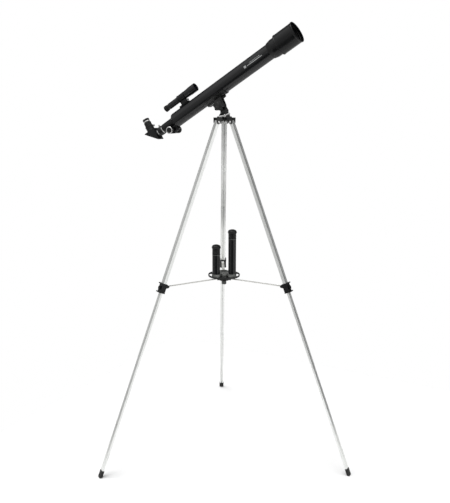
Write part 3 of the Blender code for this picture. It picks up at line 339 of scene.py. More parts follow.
def pipe(outer, inner, low, high, axis="Z", segs=64, **more):
    return hollow([(outer, high), (outer, low), (inner, low), (inner, high)], axis, segs, **more)


def rod(r, high, low, axis="Z", segs=64):
    return lathe([(0, high), (r, high), (r, low), (0, low)], axis, segs)


def slab(outline, low, high, axis="Z", bevel=0.0004, hole=None):
    """A flat outline given thickness, its rims rounded. hole is an inner outline of as many points."""
    bm = bmesh.new()
    reach = 0.0016 + bevel
    levels = [low, low + reach, high - reach, high] if high - low > 3 * reach else [low, high]
    loops = [[[bm.verts.new((a, b, h)) for a, b in line] for h in levels]
             for line in ([outline] if hole is None else [outline, hole])]
    count = len(outline)
    rims, caps = [], []
    for rows in loops:
        for bottom, top in zip(rows, rows[1:]):
            for i in range(count):
                j = (i + 1) % count
                bm.faces.new((bottom[i], bottom[j], top[j], top[i]))
        for row in (rows[0], rows[-1]):
            rims += [(row[i], row[(i + 1) % count]) for i in range(count)]
    for level in (0, -1):
        if hole is None:
            caps.append(bm.faces.new(loops[0][level]))
            continue
        for i in range(count):
            j = (i + 1) % count
            bm.faces.new((loops[0][level][i], loops[0][level][j], loops[1][level][j], loops[1][level][i]))
    bmesh.ops.recalc_face_normals(bm, faces=bm.faces)
    if bevel:
        edges = [bm.edges.get(pair) for pair in rims]
        bmesh.ops.bevel(bm, geom=edges, offset=bevel, segments=2, profile=0.5, affect="EDGES",
                        clamp_overlap=True)
    for cap in caps:
        if cap.is_valid and len(cap.verts) == count:
            bmesh.ops.inset_region(bm, faces=[cap], thickness=0.0003, use_even_offset=False)
    return swing(bm, axis)


def rectangle(x0, y0, x1, y1, r=0.0006):
    return soften([(x0, y0), (x1, y0), (x1, y1), (x0, y1)], r, closed=True)


def block(low, high, r=0.0006):
    return slab(rectangle(low[0], low[1], high[0], high[1], r), low[2], high[2], "Z", min(r, 0.0006))


def lobed(lobes, r, depth, steps=8):
    count = lobes * steps
    return [((r - depth * (0.5 - 0.5 * cos(lobes * a))) * cos(a),
             (r - depth * (0.5 - 0.5 * cos(lobes * a))) * sin(a))
            for a in (2 * pi * i / count for i in range(count))]


def screw_head(r=0.0022, height=0.0012):
    """A domed head with a raised ring round a sunken driver seat, on the plane z = 0."""
    return lathe([(0, height * 0.45), (r * 0.42, height * 0.45), (r * 0.5, height), (r * 0.8, height * 0.8),
                  (r, height * 0.2), (r, -height), (0, -height)], "Z", 20, round_off=0.0002)


def one(shape):
    return (shape, 0, None)


def placed(name, data):
    made = bpy.data.objects.new(name, data)
    bpy.context.scene.collection.objects.link(made)
    return made


def joined(parts):
    """One mesh from several closed shapes; each part is (shape, material index, place)."""
    whole = bmesh.new()
    for shape, index, where in parts:
        if where is not None:
            shape.transform(where)
        for face in shape.faces:
            face.smooth = True
            face.material_index = index
        held = bpy.data.meshes.new("held")
        shape.to_mesh(held)
        shape.free()
        whole.from_mesh(held)
        bpy.data.meshes.remove(held)
    return whole


def piece(name, body, place, parts, mats=(PLASTIC,), settled=False):
    """The fine piece that stands for the CAD node of the same name and rides on its body.

    A settled piece holds world coordinates in its mesh, so its box is no larger than its shape.
    """
    whole = joined(parts)
    if settled:
        whole.transform(place)
    mesh = bpy.data.meshes.new(name)
    whole.to_mesh(mesh)
    whole.free()
    mesh.set_sharp_from_angle(angle=radians(42))
    for mat in mats:
        mesh.materials.append(mat)
    obj = placed(name + "_fine", mesh)
    obj.matrix_world = Matrix() if settled else place
    normals = obj.modifiers.new("Normals", "WEIGHTED_NORMAL")
    normals.keep_sharp = True
    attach(obj, body)
    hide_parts(name)


# ---- tripod head
def tripod_head():
    """A round plate on a neck, with a lobe and a pair of ears for each leg and ribs between."""
    neck, shoulder = 0.0145, HEAD_TOP - 0.004
    parts = [one(lathe([(0, HEAD_TOP), (0.024, HEAD_TOP), (0.025, HEAD_TOP - 0.001), (0.025, shoulder),
                        (neck, shoulder), (neck, HEAD_BOTTOM + 0.001), (0.0135, HEAD_BOTTOM),
                        (0, HEAD_BOTTOM)]))]
    top, bottom = LOBE_TOP - PIVOT_Z - 0.0006, HEAD_BOTTOM - PIVOT_Z + 0.0004
    outline = [(-0.02, top), (-0.02, bottom), (-0.0105, bottom)]
    outline += arc(0, 0, EAR_R, -115, 0, 12) + [(EAR_R, top)]
    half_y = EAR_Y + EAR_T + 0.0003
    for angle in LEGS.values():
        pivot = rot(angle, "Z") @ at(PIVOT_R, 0, PIVOT_Z)
        for low in (EAR_Y, -EAR_Y - EAR_T):
            parts.append((slab(outline, low, low + EAR_T, "Y", 0.0006), 0, pivot))
            outer = low + EAR_T if low > 0 else low
            seat = pipe(0.0056, 0.0046, outer - 0.0002, outer + 0.0001, "Y", 32, round_off=0.0001)
            parts.append((seat, 0, pivot))
        lobe = block((0.012, -half_y, LOBE_TOP - LOBE_T), (LOBE_REACH, half_y, LOBE_TOP), 0.0012)
        parts.append((lobe, 0, rot(angle, "Z")))
        rib = block((0.012, -0.0012, HEAD_TOP - 0.0105), (0.0225, 0.0012, HEAD_TOP - 0.0038))
        parts.append((rib, 0, rot(angle + 60, "Z")))
    piece("tripod_head", "tripod_head", TRIPOD, parts, [GREY_PLASTIC])


def leg_bolt(number):
    reach, head = EAR_Y + EAR_T + GAP, 0.0043
    near = raised(reach, [(0, 0.0022), (0.0016, 0.0022), (0.0019, 0.0031), (head - 0.0012, 0.0028),
                          (head, 0.0014), (head, 0), (0.0022, 0)])
    far = [(r, -h) for r, h in reversed(near)]
    bolt = lathe(near + far, "Y", 40, round_off=0.0005)
    place = spoke(number) @ at(PIVOT_R, 0, PIVOT_Z)
    piece(f"leg_bolt_{number}", "tripod_head", place, [one(bolt)], [STEEL])


# ---- legs
def channel(width, depth, low, high):
    """A rolled section, its lips nearly meeting on the inner side, a shallow groove down the others."""
    x, y = depth / 2, width / 2
    groove, sink = 0.28 * y, 0.00028
    half = [(x - sink, 0), (x - sink, groove), (x, groove + 0.0004), (x, y), (0.34 * x, y),
            (0.3 * x, y - sink), (-0.3 * x, y - sink), (-0.34 * x, y), (-x, y), (-x, SEAM),
            (-x + WALL, SEAM), (-x + WALL, y - WALL), (x - WALL, y - WALL)]
    outline = half[1:] + [(a, -b) for a, b in reversed(half[1:])]
    return slab(soften(outline, 0.0008, 2, closed=True), low, high, "Z", 0)


def on_floor(x):
    """Height along the leg where the line x = constant meets the floor."""
    return -(PIVOT_Z + x * sin(LEAN)) / cos(LEAN)


def boot():
    """A ribbed rubber boot, rounded under, flat where it meets the floor."""
    half_x, half_y = LOWER_D / 2 + 0.00115, LOWER_W / 2 + 0.0013
    corners = [(-half_x, -half_y), (half_x, -half_y), (half_x, half_y), (-half_x, half_y)]
    around = soften(corners, 0.0022, 5, closed=True)
    lowest = on_floor(0) + 0.0062
    levels = [(0, 0.8), (0, 0.95), (0.0006, 1.0), (0.003, 1.0), (0.0034, 0.955), (0.0042, 0.955),
              (0.0046, 1.0)]
    for rib in range(3):
        start = 0.0068 + 0.0036 * rib
        levels += [(start + down, s) for down, s in ((0, 0.985), (0.0005, 0.945), (0.0011, 0.945),
                                                     (0.0016, 0.985))]
    rows = [[(x * s, y * s, -FOOT_TOP - depth) for x, y in around]
            for depth, s in levels if -FOOT_TOP - depth > lowest]
    for i in range(7):
        turn = radians(15 * i)
        s, lift = 0.62 + 0.38 * cos(turn), 0.0048 * (1 - sin(turn))
        rows.append([(x * s, y * s, on_floor(x * s) + lift) for x, y in around])
    bm = bmesh.new()
    rings = [[bm.verts.new(p) for p in row] for row in rows]
    for a, b in zip(rings, rings[1:]):
        for i in range(len(a)):
            j = (i + 1) % len(a)
            bm.faces.new((a[i], a[j], b[j], b[i]))
    bm.faces.new(rings[0])
    bm.faces.new(rings[-1])
    bmesh.ops.recalc_face_normals(bm, faces=bm.faces)
    return bm


def open_ring(half_x, half_y, bore_x, bore_y, window, r=0.0012):
    """The outline of a sleeve whose inner wall is open over the middle of its width."""
    outer = [(-half_x, window), (-half_x, half_y), (half_x, half_y), (half_x, -half_y), (-half_x, -half_y),
             (-half_x, -window)]
    inner = [(-bore_x, -window), (-bore_x, -bore_y), (bore_x, -bore_y), (bore_x, bore_y), (-bore_x, bore_y),
             (-bore_x, window)]
    return soften(outer + inner, r, closed=True)


def collar_sleeve():
    """A sleeve round both sections, open on the inner side above its sill, with two rims."""
    wide_x, wide_y, narrow_x, narrow_y = (half / 2 + GAP for half in (UPPER_D, UPPER_W, LOWER_D, LOWER_W))
    upper = rectangle(-wide_x, -wide_y, wide_x, wide_y)
    lower = rectangle(-narrow_x, -narrow_y, narrow_x, narrow_y)
    sill, rim_t, rim_y, window = COLLAR_BOTTOM + 0.006, 0.0035, COLLAR_Y + 0.0012, 0.0045
    wide = open_ring(COLLAR_X, COLLAR_Y, wide_x, wide_y, window)
    narrow = open_ring(COLLAR_X, COLLAR_Y, narrow_x, narrow_y, window)
    body = rectangle(-COLLAR_X, -COLLAR_Y, COLLAR_X, COLLAR_Y, 0.0022)
    rim = rectangle(-COLLAR_X - 0.0005, -rim_y, COLLAR_X + 0.0048, rim_y, 0.0022)
    return [one(slab(wide, UPPER_END, COLLAR_TOP - 0.001, "Z", 0)),
            one(slab(narrow, sill, UPPER_END, "Z", 0)),
            one(slab(body, COLLAR_BOTTOM + 0.001, sill, "Z", 0.0, lower)),
            one(slab(rim, COLLAR_TOP - rim_t, COLLAR_TOP, "Z", 0.0007, upper)),
            one(slab(rim, COLLAR_BOTTOM, COLLAR_BOTTOM + rim_t, "Z", 0.0007, lower))]


def collar_ribs():
    ribs, low_z, high_z = [], COLLAR_BOTTOM + 0.003, COLLAR_TOP - 0.003
    for side in (-1, 1):
        for x in (-0.004, 0.001, 0.006):
            low, high = sorted((side * (COLLAR_Y - 0.0008), side * (COLLAR_Y + 0.0007)))
            ribs.append(one(block((x - 0.0007, low, low_z), (x + 0.0007, high, high_z), 0.0004)))
    return ribs


def collar_ears():
    """Two ears on the inner side for the brace's outer pin."""
    out, up = BRACE_OUT - PIVOT_R, BRACE_Z - PIVOT_Z
    eye_x, eye_z = out * cos(LEAN) + up * sin(LEAN), -out * sin(LEAN) + up * cos(LEAN)
    inner, ear_y, ear_t = -COLLAR_X + 0.001, BRACE_W / 2 + 0.0004, 0.003
    outline = [(inner, COLLAR_TOP - 0.0004), (inner, COLLAR_TOP - 0.016)]
    outline += arc(eye_x, eye_z, 0.0045, 250, 95, 16)
    return [one(slab(outline, low, low + ear_t, "Y", 0.0005)) for low in (ear_y, -ear_y - ear_t)]


def leg_cap():
    plug_x, plug_y = UPPER_D / 2 - WALL - GAP, UPPER_W / 2 - WALL - GAP
    cap_x, cap_y = UPPER_D / 2 + 0.0008, UPPER_W / 2 + 0.0002
    return [one(block((-plug_x, -plug_y, -0.0048), (plug_x, plug_y, UPPER_TOP + 0.002))),
            one(block((-cap_x, -cap_y, UPPER_TOP + GAP), (cap_x, cap_y, UPPER_TOP + 0.0042), 0.0014))]


def leg_lock():
    """A fluted knob on the collar's outer face, with its shank."""
    start, bore = COLLAR_X + GAP, UPPER_D / 2 + GAP
    grip = raised(start, [(0, 0.0046), (0.003, 0.0046), (0.0036, 0.005), (0.0058, 0.0048),
                          (0.0064, 0.004), (0.0064, 0.0008), (0.0056, 0), (0.0019, 0)])
    flutes = (24, 0.0007, start + 0.0004, start + 0.0044)
    return [one(lathe(grip + [(0.0019, bore), (0, bore)], "X", 96, wave=flutes))]


def leg(number):
    place, body, lower = leg_frame(number), f"leg_{number}", f"lower_leg_{number}"
    piece(f"leg_cap_{number}", body, place, leg_cap())
    section = channel(UPPER_W, UPPER_D, UPPER_END, UPPER_TOP)
    piece(f"upper_leg_{number}", body, place, [one(section)], [ALUMINIUM])
    piece(f"leg_collar_{number}", body, place, collar_sleeve() + collar_ribs() + collar_ears())
    middle = (COLLAR_TOP + COLLAR_BOTTOM) / 2
    piece(f"leg_lock_{number}", f"leg_lock_{number}", place @ at(z=middle), leg_lock())
    section = channel(LOWER_W, LOWER_D, -FOOT_TOP - 0.016 + GAP, LOWER_TOP)
    piece(lower, lower, place, [one(section)], [ALUMINIUM])
    piece(f"leg_foot_{number}", lower, place, [one(boot())], [RUBBER], True)


def brace(number):
    """A flat strip with a raised rib, an eye at each end and the outer pin."""
    span, half, half_w = BRACE_OUT - BRACE_IN, BRACE_T / 2, BRACE_W / 2
    low, high = 0.0035, span - 0.0035
    strip = slab([(low, half), (low, -half), (high, -half), (high, half)], -half_w, half_w, "Y", 0.0003)
    rib = slab([(span - 0.012, half + 0.0005), (span - 0.014, half - 0.0002), (0.014, half - 0.0002),
                (0.012, half + 0.0005)], -0.0016, 0.0016, "Y", 0.0002)
    parts = [one(strip), one(rib)]
    for x in (0, span):
        parts.append((rod(EYE_R, half_w, -half_w, "Y", 32), 0, at(x)))
    reach = half_w + 0.0028
    parts.append((rod(TRUNNION, reach, -reach, "Y", 24), 0, at(span)))
    place = spoke(number) @ at(BRACE_IN, 0, BRACE_Z)
    piece(f"brace_{number}", f"brace_{number}", place, parts, [STRIP])


# ---- spreader and tray
def spreader_hub():
    """A disc with an open slot and a fork for the inner eye of each brace."""
    half_slot, half_fork, fork_x = BRACE_W / 2 + 0.0004, BRACE_W / 2 + 0.003, 0.012
    fork_low, fork_high, lid_low = BRACE_Z - EYE_R - 0.0006, HUB_TOP - 0.0004, SLOT_TOP - 0.0002
    mouth = atan2(half_slot, HUB_R) * 180 / pi
    rim_x = HUB_R * cos(radians(mouth))
    outline, parts = [], []
    for angle in LEGS.values():
        corners = ((rim_x, -half_slot), (SLOT_R, -half_slot), (SLOT_R, half_slot), (rim_x, half_slot))
        outline += [tuple(Matrix.Rotation(radians(angle), 2) @ Vector(p)) for p in corners]
        outline += arc(0, 0, HUB_R, angle + mouth + 3, angle + 120 - mouth - 3, 18)
        bridge = block((fork_x, -half_fork, SLOT_TOP), (HUB_REACH, half_fork, fork_high), 0.0005)
        parts.append((bridge, 0, rot(angle, "Z")))
        for low in (half_slot, -half_fork):
            high = low + half_fork - half_slot
            prong = block((fork_x, low, fork_low), (HUB_REACH, high, fork_high), 0.0008)
            parts.append((prong, 0, rot(angle, "Z")))
    lid = lathe([(0, HUB_TOP), (HUB_R - 0.001, HUB_TOP), (HUB_R, HUB_TOP - 0.001), (HUB_R, lid_low),
                 (0, lid_low)])
    parts += [one(slab(outline, HUB_BOTTOM, SLOT_TOP, "Z", 0.0004)), one(lid)]
    piece("spreader_hub", "spreader", TRIPOD, parts)


def accessory_tray():
    """A rim on six arms, with a ribbed centre and three cups."""
    inside, rim_top = TRAY_R - 0.001, TRAY_Z + 0.0065
    centre = raised(TRAY_Z, [(0, 0.0084), (0.0036, 0.0084), (0.0046, 0.01), (0.0078, 0.01),
                             (0.0084, 0.0088), (0.0118, 0.0088), (0.0124, 0.01), (0.0136, 0.01),
                             (0.0145, 0.0092), (0.0145, 0), (0, 0)])
    parts = [one(pipe(TRAY_R, TRAY_R - 0.0028, TRAY_Z, rim_top, segs=120, round_off=0.0009)),
             (lathe(centre), 1, None)]
    for angle in LEGS.values():
        turn = rot(angle, "Z")
        arm = block((0.004, -0.003, TRAY_Z + 0.00005), (inside, 0.003, TRAY_Z + 0.0024))
        rib = block((-inside, -0.0025, TRAY_Z + 0.0001), (-0.004, 0.0025, TRAY_Z + 0.0036))
        cup = pipe(CUP_BORE + 0.0022, CUP_BORE, CUP_FLOOR - 0.0005, TRAY_Z + 0.0105, round_off=0.0007)
        floor = rod(CUP_BORE + 0.0012, CUP_FLOOR, TRAY_Z + 0.0001)
        parts += [(arm, 0, turn), (rib, 0, turn), (cup, 1, turn @ at(CUP_R)), (floor, 0, turn @ at(CUP_R))]
    piece("accessory_tray", "spreader", TRIPOD, parts, [GREY_PLASTIC, TRAY_GREY])


def tray_knob():
    top, bottom = HUB_BOTTOM - GAP, HUB_BOTTOM - GAP - 0.016
    grip = [(0, top), (0.0074, top), (0.0082, top - 0.001)]
    grip += raised(bottom, [(0.0082, 0.0012), (0.0072, 0), (0.005, 0), (0.0046, 0.0008), (0, 0.0008)])
    knob = lathe(grip, "Z", 96, wave=(12, 0.0011, bottom + 0.0004, top - 0.0004))
    stud = rod(0.003, TRAY_Z + 0.0075, top - 0.001, "Z", 24)
    piece("tray_knob", "tray_knob", TRIPOD, [one(knob), one(stud)], [KNOB_GREY])


def standing_lens(name, number, top, bright):
    """A cap with a lip on a grooved body, a thin metal line, and a barrel that stands in the cup."""
    foot, shoulder = CUP_FLOOR + GAP, top - (0.0338 if bright else 0.0362)
    wide, sunk = LENS_BODY_R, LENS_BODY_R - 0.0004
    cap = raised(top, [(0, 0), (0.0065, -0.0006), (0.0125, -0.003), (0.0149, -0.0065),
                       (0.0153, -0.0105), (0.0159, -0.011), (0.0159, -0.0125), (wide - 0.0006, -0.013),
                       (0, -0.013)])
    body = raised(top, [(0, -0.012), (wide, -0.0122)])
    for i in range(5):
        groove = top - 0.0165 - 0.0034 * i
        body += raised(groove, [(wide, 0.0009), (sunk, 0.0006), (sunk, -0.0006), (wide, -0.0009)])
    body += raised(shoulder, [(wide, 0.0006), (0, 0.0006)])
    tube = lathe([(0, shoulder), (wide - 0.0002, shoulder), (wide - 0.0002, LENS_SHOULDER + 0.0008),
                  (wide - 0.0009, LENS_SHOULDER), (0, LENS_SHOULDER)])
    barrel = lathe([(0, LENS_SHOULDER + 0.0002), (BARREL_R, LENS_SHOULDER + 0.0002),
                    (BARREL_R, foot + 0.0008), (BARREL_R - 0.0008, foot), (0, foot)])
    parts = [one(lathe(cap, round_off=0.0012)), one(lathe(body, round_off=0.0003)),
             (rod(wide + 0.0001, shoulder + 0.0007, shoulder - 0.0005), 1, None), (tube, 2, None),
             (barrel, 1 if bright else 2, None)]
    piece(name, name, spoke(number) @ at(CUP_R), parts, [PLASTIC, SMOKED, ENAMEL])


# ---- fork head
def azimuth_base():
    """A skirt on a spigot, a square post, and the tongue between the saddle's ears."""
    post_x, post_y, post_top = 0.0112, 0.01, ALT_Z - 0.0128
    side, base = post_x - 0.0004, HEAD_TOP + GAP
    skirt = raised(base, [(0, 0.012), (0.012, 0.0112), (0.014, 0.01), (0.019, 0.0025), (0.019, 0),
                          (0.008, 0), (0.008, -0.0107), (0, -0.0107)])
    post = block((-post_x, -post_y, base + 0.004), (post_x, post_y, post_top), 0.003)
    outline = [(-side, ALT_Z - 0.03), (side, ALT_Z - 0.03), (side, post_top + 0.0008)]
    outline += arc(ALT_X - TRIPOD_X, ALT_Z, 0.0098, 20, 180, 24)
    cheek = raised(-post_y, [(0, -0.001), (0.0052, -0.001), (0.006, -0.0016), (0.0074, -0.0016),
                             (0.008, -0.001), (0.008, 0.002), (0, 0.002)])
    parts = [one(lathe(skirt, segs=96)), one(post), one(slab(outline, -TONGUE, TONGUE, "Y", 0.0007)),
             (lathe(cheek, "Y", 48), 0, at(z=1.1985))]
    for z in (1.19, 1.2035):
        band = block((-post_x - 0.0006, -0.0075, z), (post_x + 0.0006, 0.0075, z + 0.0014), 0.0005)
        parts.append(one(band))
    piece("azimuth_base", "fork", TRIPOD, parts, [GREY_PLASTIC])


def altitude_bolt():
    head = raised(FORK + GAP, [(0, 0.0036), (0.003, 0.0036), (0.0036, 0.0046), (0.0062, 0.0046),
                               (0.007, 0.0036), (0.007, 0), (0.0038, 0)])
    bolt = lathe(head + [(0.0038, -0.027), (0, -0.027)], "Y", 48)
    piece("altitude_bolt", "fork", ALTITUDE, [one(bolt)], [STEEL])


def altitude_knob():
    """A lobed grip on a neck, with a ring and a raised cap on its outer face."""
    grip = slab(lobed(6, 0.018, 0.0034, 14), -0.0335, -0.0175, "Y", 0.0014)
    cap = lathe([(0, -0.0354), (0.004, -0.0354), (0.0048, -0.036), (0.0086, -0.036), (0.0095, -0.0352),
                 (0.0095, -0.0325), (0, -0.0325)], "Y")
    rim = pipe(0.0125, 0.0108, -0.034, -0.033, "Y", round_off=0.0004)
    parts = [one(grip), one(rod(0.0105, -FORK - GAP, -0.018, "Y")), one(cap), one(rim)]
    piece("altitude_knob", "altitude_knob", ALTITUDE, parts, [GREY_PLASTIC])


def azimuth_lock():
    """A stud with a hub and two wings, each tilted its own way."""
    hub = lathe([(0, 0.027), (0.004, 0.027), (0.0046, 0.028), (0.0042, WING_OUT + 0.004),
                 (0.0034, WING_OUT + 0.005), (0, WING_OUT + 0.005)], "X", 40)
    parts = [one(rod(0.0024, 0.0095, WING_OUT, "X", 32)), one(hub)]
    for side, tilt in ((-1, 9.0), (1, 25.0)):
        half = [(0, 0.0022), (0, -0.0022), (0.008, -0.0027)] + arc(0.0165, 0, 0.0032, -80, 80, 14)
        wing = [(side * y, z) for y, z in half + [(0.008, 0.0027)]]
        parts.append((slab(wing, WING_OUT, WING_OUT + 0.0035, "X", 0.0011), 0, rot(tilt, "X")))
    place = TRIPOD @ at(z=WING_Z) @ rot(WING_ANGLE, "Z")
    piece("azimuth_lock_bolt", "azimuth_lock", place, parts, [CHROME])


def saddle():
    """A cradle under the tube on a block with two ears and a stub, held to the tube by four screws."""
    rear, front, inner, outer = -0.045, 0.037, TUBE_R + GAP, TUBE_R + 0.0033
    across = arc(0, RISE, outer, 218, 322, 32) + arc(0, RISE, inner, 322, 218, 32)
    bed = block((rear + 0.0002, -0.011, 0.0205), (-0.0185, 0.011, RISE - inner - 0.0006), 0.0018)
    parts = [one(slab(across, rear, front, "X", 0.0008)), one(bed)]
    ear_top = RISE - inner + 0.0007
    ear = arc(0, 0, 0.0108, 180, 360, 24) + [(0.0135, ear_top), (-0.022, ear_top)]
    for side in (-1, 1):
        low, high = sorted((side * (TONGUE + GAP), side * FORK))
        parts.append(one(slab(ear, low, high, "Y", 0.0006)))
    stub = lathe([(0, 0.006), (0.0042, 0.006), (0.0042, 0.0225), (0.0036, 0.0232), (0.0036, 0.027),
                  (0, 0.027)], "X", 40)
    parts.append((stub, 0, at(z=0.0212)))
    for x in (-0.038, 0.03):
        for lean in (-42, 42):
            spot = at(x, 0, RISE) @ rot(lean, "X") @ at(z=-outer - 0.0003) @ rot(180, "X")
            parts.append((screw_head(), 1, spot))
    piece("saddle_bracket", "tube", MOUNT, parts, [GREY_PLASTIC, BLACKED])


# ---- tube
def print_line(start, end, middle, height):
    """A thin printed line that follows the tube's side, at a turn of middle degrees round the axis."""
    half = height / 2 / TUBE_R * 180 / pi
    outline = arc(0, 0, TUBE_R + 0.00012, middle - half, middle + half, 4)
    outline += arc(0, 0, TUBE_R - 0.0004, middle + half, middle - half, 4)
    return slab(outline, start, end, "X", 0)


def main_tube():
    parts = [one(pipe(TUBE_R, TUBE_R - TUBE_WALL, REAR, FRONT, "X", 128, round_off=0.0003))]
    for line in ((0.14, 0.148, 181.0, 0.0075), (0.152, 0.212, 183.5, 0.0024), (0.162, 0.206, 173.0, 0.0012)):
        parts.append((print_line(*line), 1, None))
    for turn in (60, 180, 300):
        spot = rot(turn, "X") @ at(REAR + 0.01, 0, TUBE_R - 0.0001)
        parts.append((screw_head(0.002, 0.0009), 2, spot))
    piece("main_tube", "tube", TUBE, parts, [ENAMEL, PALE_PRINT, BLACKED])


def objective_cell():
    """A stepped ring over the tube's front end, with a seat for the lens and three small screws."""
    waist, bore, mouth, edge = 0.0294, TUBE_R + GAP, LENS_R + GAP, FRONT + GAP
    cell = [(CELL_R, CELL_FRONT)]
    cell += raised(CELL_REAR, [(CELL_R, 0.0145), (waist, 0.0135), (waist, 0.012), (0.0272, 0.001),
                               (0.0268, 0), (bore, 0)])
    cell += [(bore, edge), (SEAT_R, edge), (SEAT_R, LENS_SEAT), (mouth, LENS_SEAT), (mouth, CELL_FRONT)]
    parts = [one(hollow(cell, "X", 128))]
    for turn in (35, 155, 275):
        spot = rot(turn, "X") @ at(CELL_REAR + 0.022, 0, CELL_R - 0.0001)
        parts.append((screw_head(0.002, 0.0008), 1, spot))
    piece("objective_cell", "tube", TUBE, parts, [PLASTIC, BLACKED])


def objective_lens():
    """A lens domed in front, and the notched ring that holds it."""
    back, edge, cap, bulge = LENS_SEAT + GAP, LENS_SEAT + 0.0062, 8, 0.0016
    dome = [(LENS_R * sin(radians(a)) / sin(radians(cap)), edge + bulge - bulge * (a / cap) ** 2)
            for a in range(cap + 1)]
    rim = raised(back, [(LENS_R, 0), (SEAT_R, 0), (0.012, 0.0009), (0, 0.0012)])
    lens = lathe(dome + rim, "X", 96, round_off=0.0002)
    piece("objective_lens", "tube", TUBE, [one(lens)], [LENS])
    parts = [one(pipe(LENS_R, 0.024, edge + GAP, edge + 0.0042, "X", 96, round_off=0.0005))]
    for turn in (0, 180):
        lug = block((edge + 0.0036, -0.0016, 0.0241), (edge + 0.0044, 0.0016, 0.0255), 0.0003)
        parts.append((lug, 0, rot(turn, "X")))
    piece("lens_retaining_ring", "tube", TUBE, parts)


def dew_shield():
    """A short wide hood with a rolled lip and a finely stepped bore against stray light."""
    front, rear, bore = SHIELD_FRONT, SHIELD_REAR, CELL_R + GAP
    shield = raised(front, [(0.035, 0), (0.0354, -0.002), (0.0348, -0.0045), (SHIELD_R, -0.006)])
    shield += raised(rear, [(SHIELD_R, 0.004), (0.0346, 0.0035), (0.0346, 0.0005), (0.0341, 0), (bore, 0)])
    shield += [(bore, CELL_FRONT + GAP), (0.0318, CELL_FRONT + 0.002)]
    for i in range(9):
        x = CELL_FRONT + 0.006 + i * 0.0055
        shield += [(0.032, x), (0.0325, x + 0.001)]
    shield.append((0.0325, front))
    hood = hollow(shield, "X", 128, round_off=0.0005)
    piece("dew_shield", "tube", TUBE, [one(hood)], settled=True)


# ---- focuser
def focuser_housing():
    """A cone and sleeve behind the tube, with two cheeks, a web and two bosses for the shaft."""
    plug, bore, inside = TUBE_R - TUBE_WALL - GAP, DRAW_R + GAP, REAR + 0.022
    cone = raised(REAR, [(TUBE_R - 0.0008, -0.003), (TUBE_R - 0.0026, -0.0048), (0.019, -0.0085),
                         (0.0165, -0.0112), (SLEEVE_R + 0.0004, -0.02)])
    lip = raised(SLEEVE_END, [(SLEEVE_R, 0.004), (SLEEVE_R - 0.0003, 0.0036), (SLEEVE_R - 0.0006, 0),
                              (bore, 0)])
    shell = [(plug, inside), (plug, REAR - GAP), (TUBE_R - 0.0004, REAR - GAP)] + cone + lip
    parts = [one(hollow(shell + [(bore, inside)], "X"))]
    front, low_z, high_z = REAR - 0.0035, SHAFT_N - 0.0065, -DRAW_R - 0.0012
    for side in (-1, 1):
        low, high = sorted((side * 0.0058, side * 0.0115))
        parts.append(one(block((SHAFT_X - 0.0105, low, low_z), (front, high, high_z), 0.0014)))
    web = block((SHAFT_X + 0.007, -0.0112, low_z), (front, 0.0112, -DRAW_R - 0.0046), 0.0008)
    parts.append(one(web))
    for turn in (180, 0):
        boss = pipe(0.0046, 0.0025, 0.0112, 0.0119, "Y", 40)
        parts.append((boss, 0, at(SHAFT_X, 0, SHAFT_N) @ rot(turn, "Z")))
    piece("focuser_housing", "tube", TUBE, parts)


def pinion_cover():
    """A plate with a half-round hump over the pinion, held by four small screws."""
    hump = [(0.0062 * cos(radians(a)), -0.0056 * sin(radians(a))) for a in range(0, 181, 12)]
    parts = [one(block((-0.01, -0.011, -0.0018), (0.01, 0.011, 0), 0.0008)),
             one(slab(hump, -0.0085, 0.0085, "Y", 0.0008))]
    for x in (-0.008, 0.008):
        for y in (-0.0085, 0.0085):
            parts.append((screw_head(0.0013, 0.0007), 1, at(x, y, -0.0018) @ rot(180, "X")))
    piece("pinion_cover", "tube", TUBE @ at(SHAFT_X, 0, COVER_N), parts, [PLASTIC, BLACKED])


def tension_screw():
    low, tip = SHAFT_N - 0.01, -DRAW_R - 0.0052
    screw = [(0, tip), (0.0019, tip), (0.0019, COVER_N), (0.004, COVER_N)]
    screw += raised(low, [(0.004, 0.0006), (0.0034, 0), (0.0016, 0), (0.0014, 0.0012), (0, 0.0012)])
    screw = lathe(screw, "Z", 48, wave=(16, 0.0004, low, COVER_N))
    piece("focus_tension_screw", "focus_tension", TUBE @ at(SHAFT_X + 0.0155), [one(screw)], [BLACKED])


def drawtube():
    """A bright tube that ends in a dark grooved collar."""
    near, wide, bore = DRAW_END + 0.0155, DRAW_R - 0.0008, BARREL_R + GAP
    neck, step, end = bore + 0.0002, DRAW_END + 0.03, near - 0.0005
    sleeve = [(DRAW_R, DRAW_FRONT), (DRAW_R, end), (neck, end), (neck, step), (wide, step),
              (wide, DRAW_FRONT)]
    collar = raised(near, [(0.0152, 0), (0.0158, -0.0012), (0.0158, -0.003), (0.0154, -0.0036),
                           (0.0154, -0.0042), (0.0158, -0.0048)])
    collar += [(0.0158, DRAW_END + 0.0012), (0.0152, DRAW_END), (bore, DRAW_END), (bore, near)]
    parts = [one(hollow(sleeve, "X")), (hollow(collar, "X"), 1, None)]
    piece("drawtube", "drawtube", TUBE, parts, [CHROME, PLASTIC])


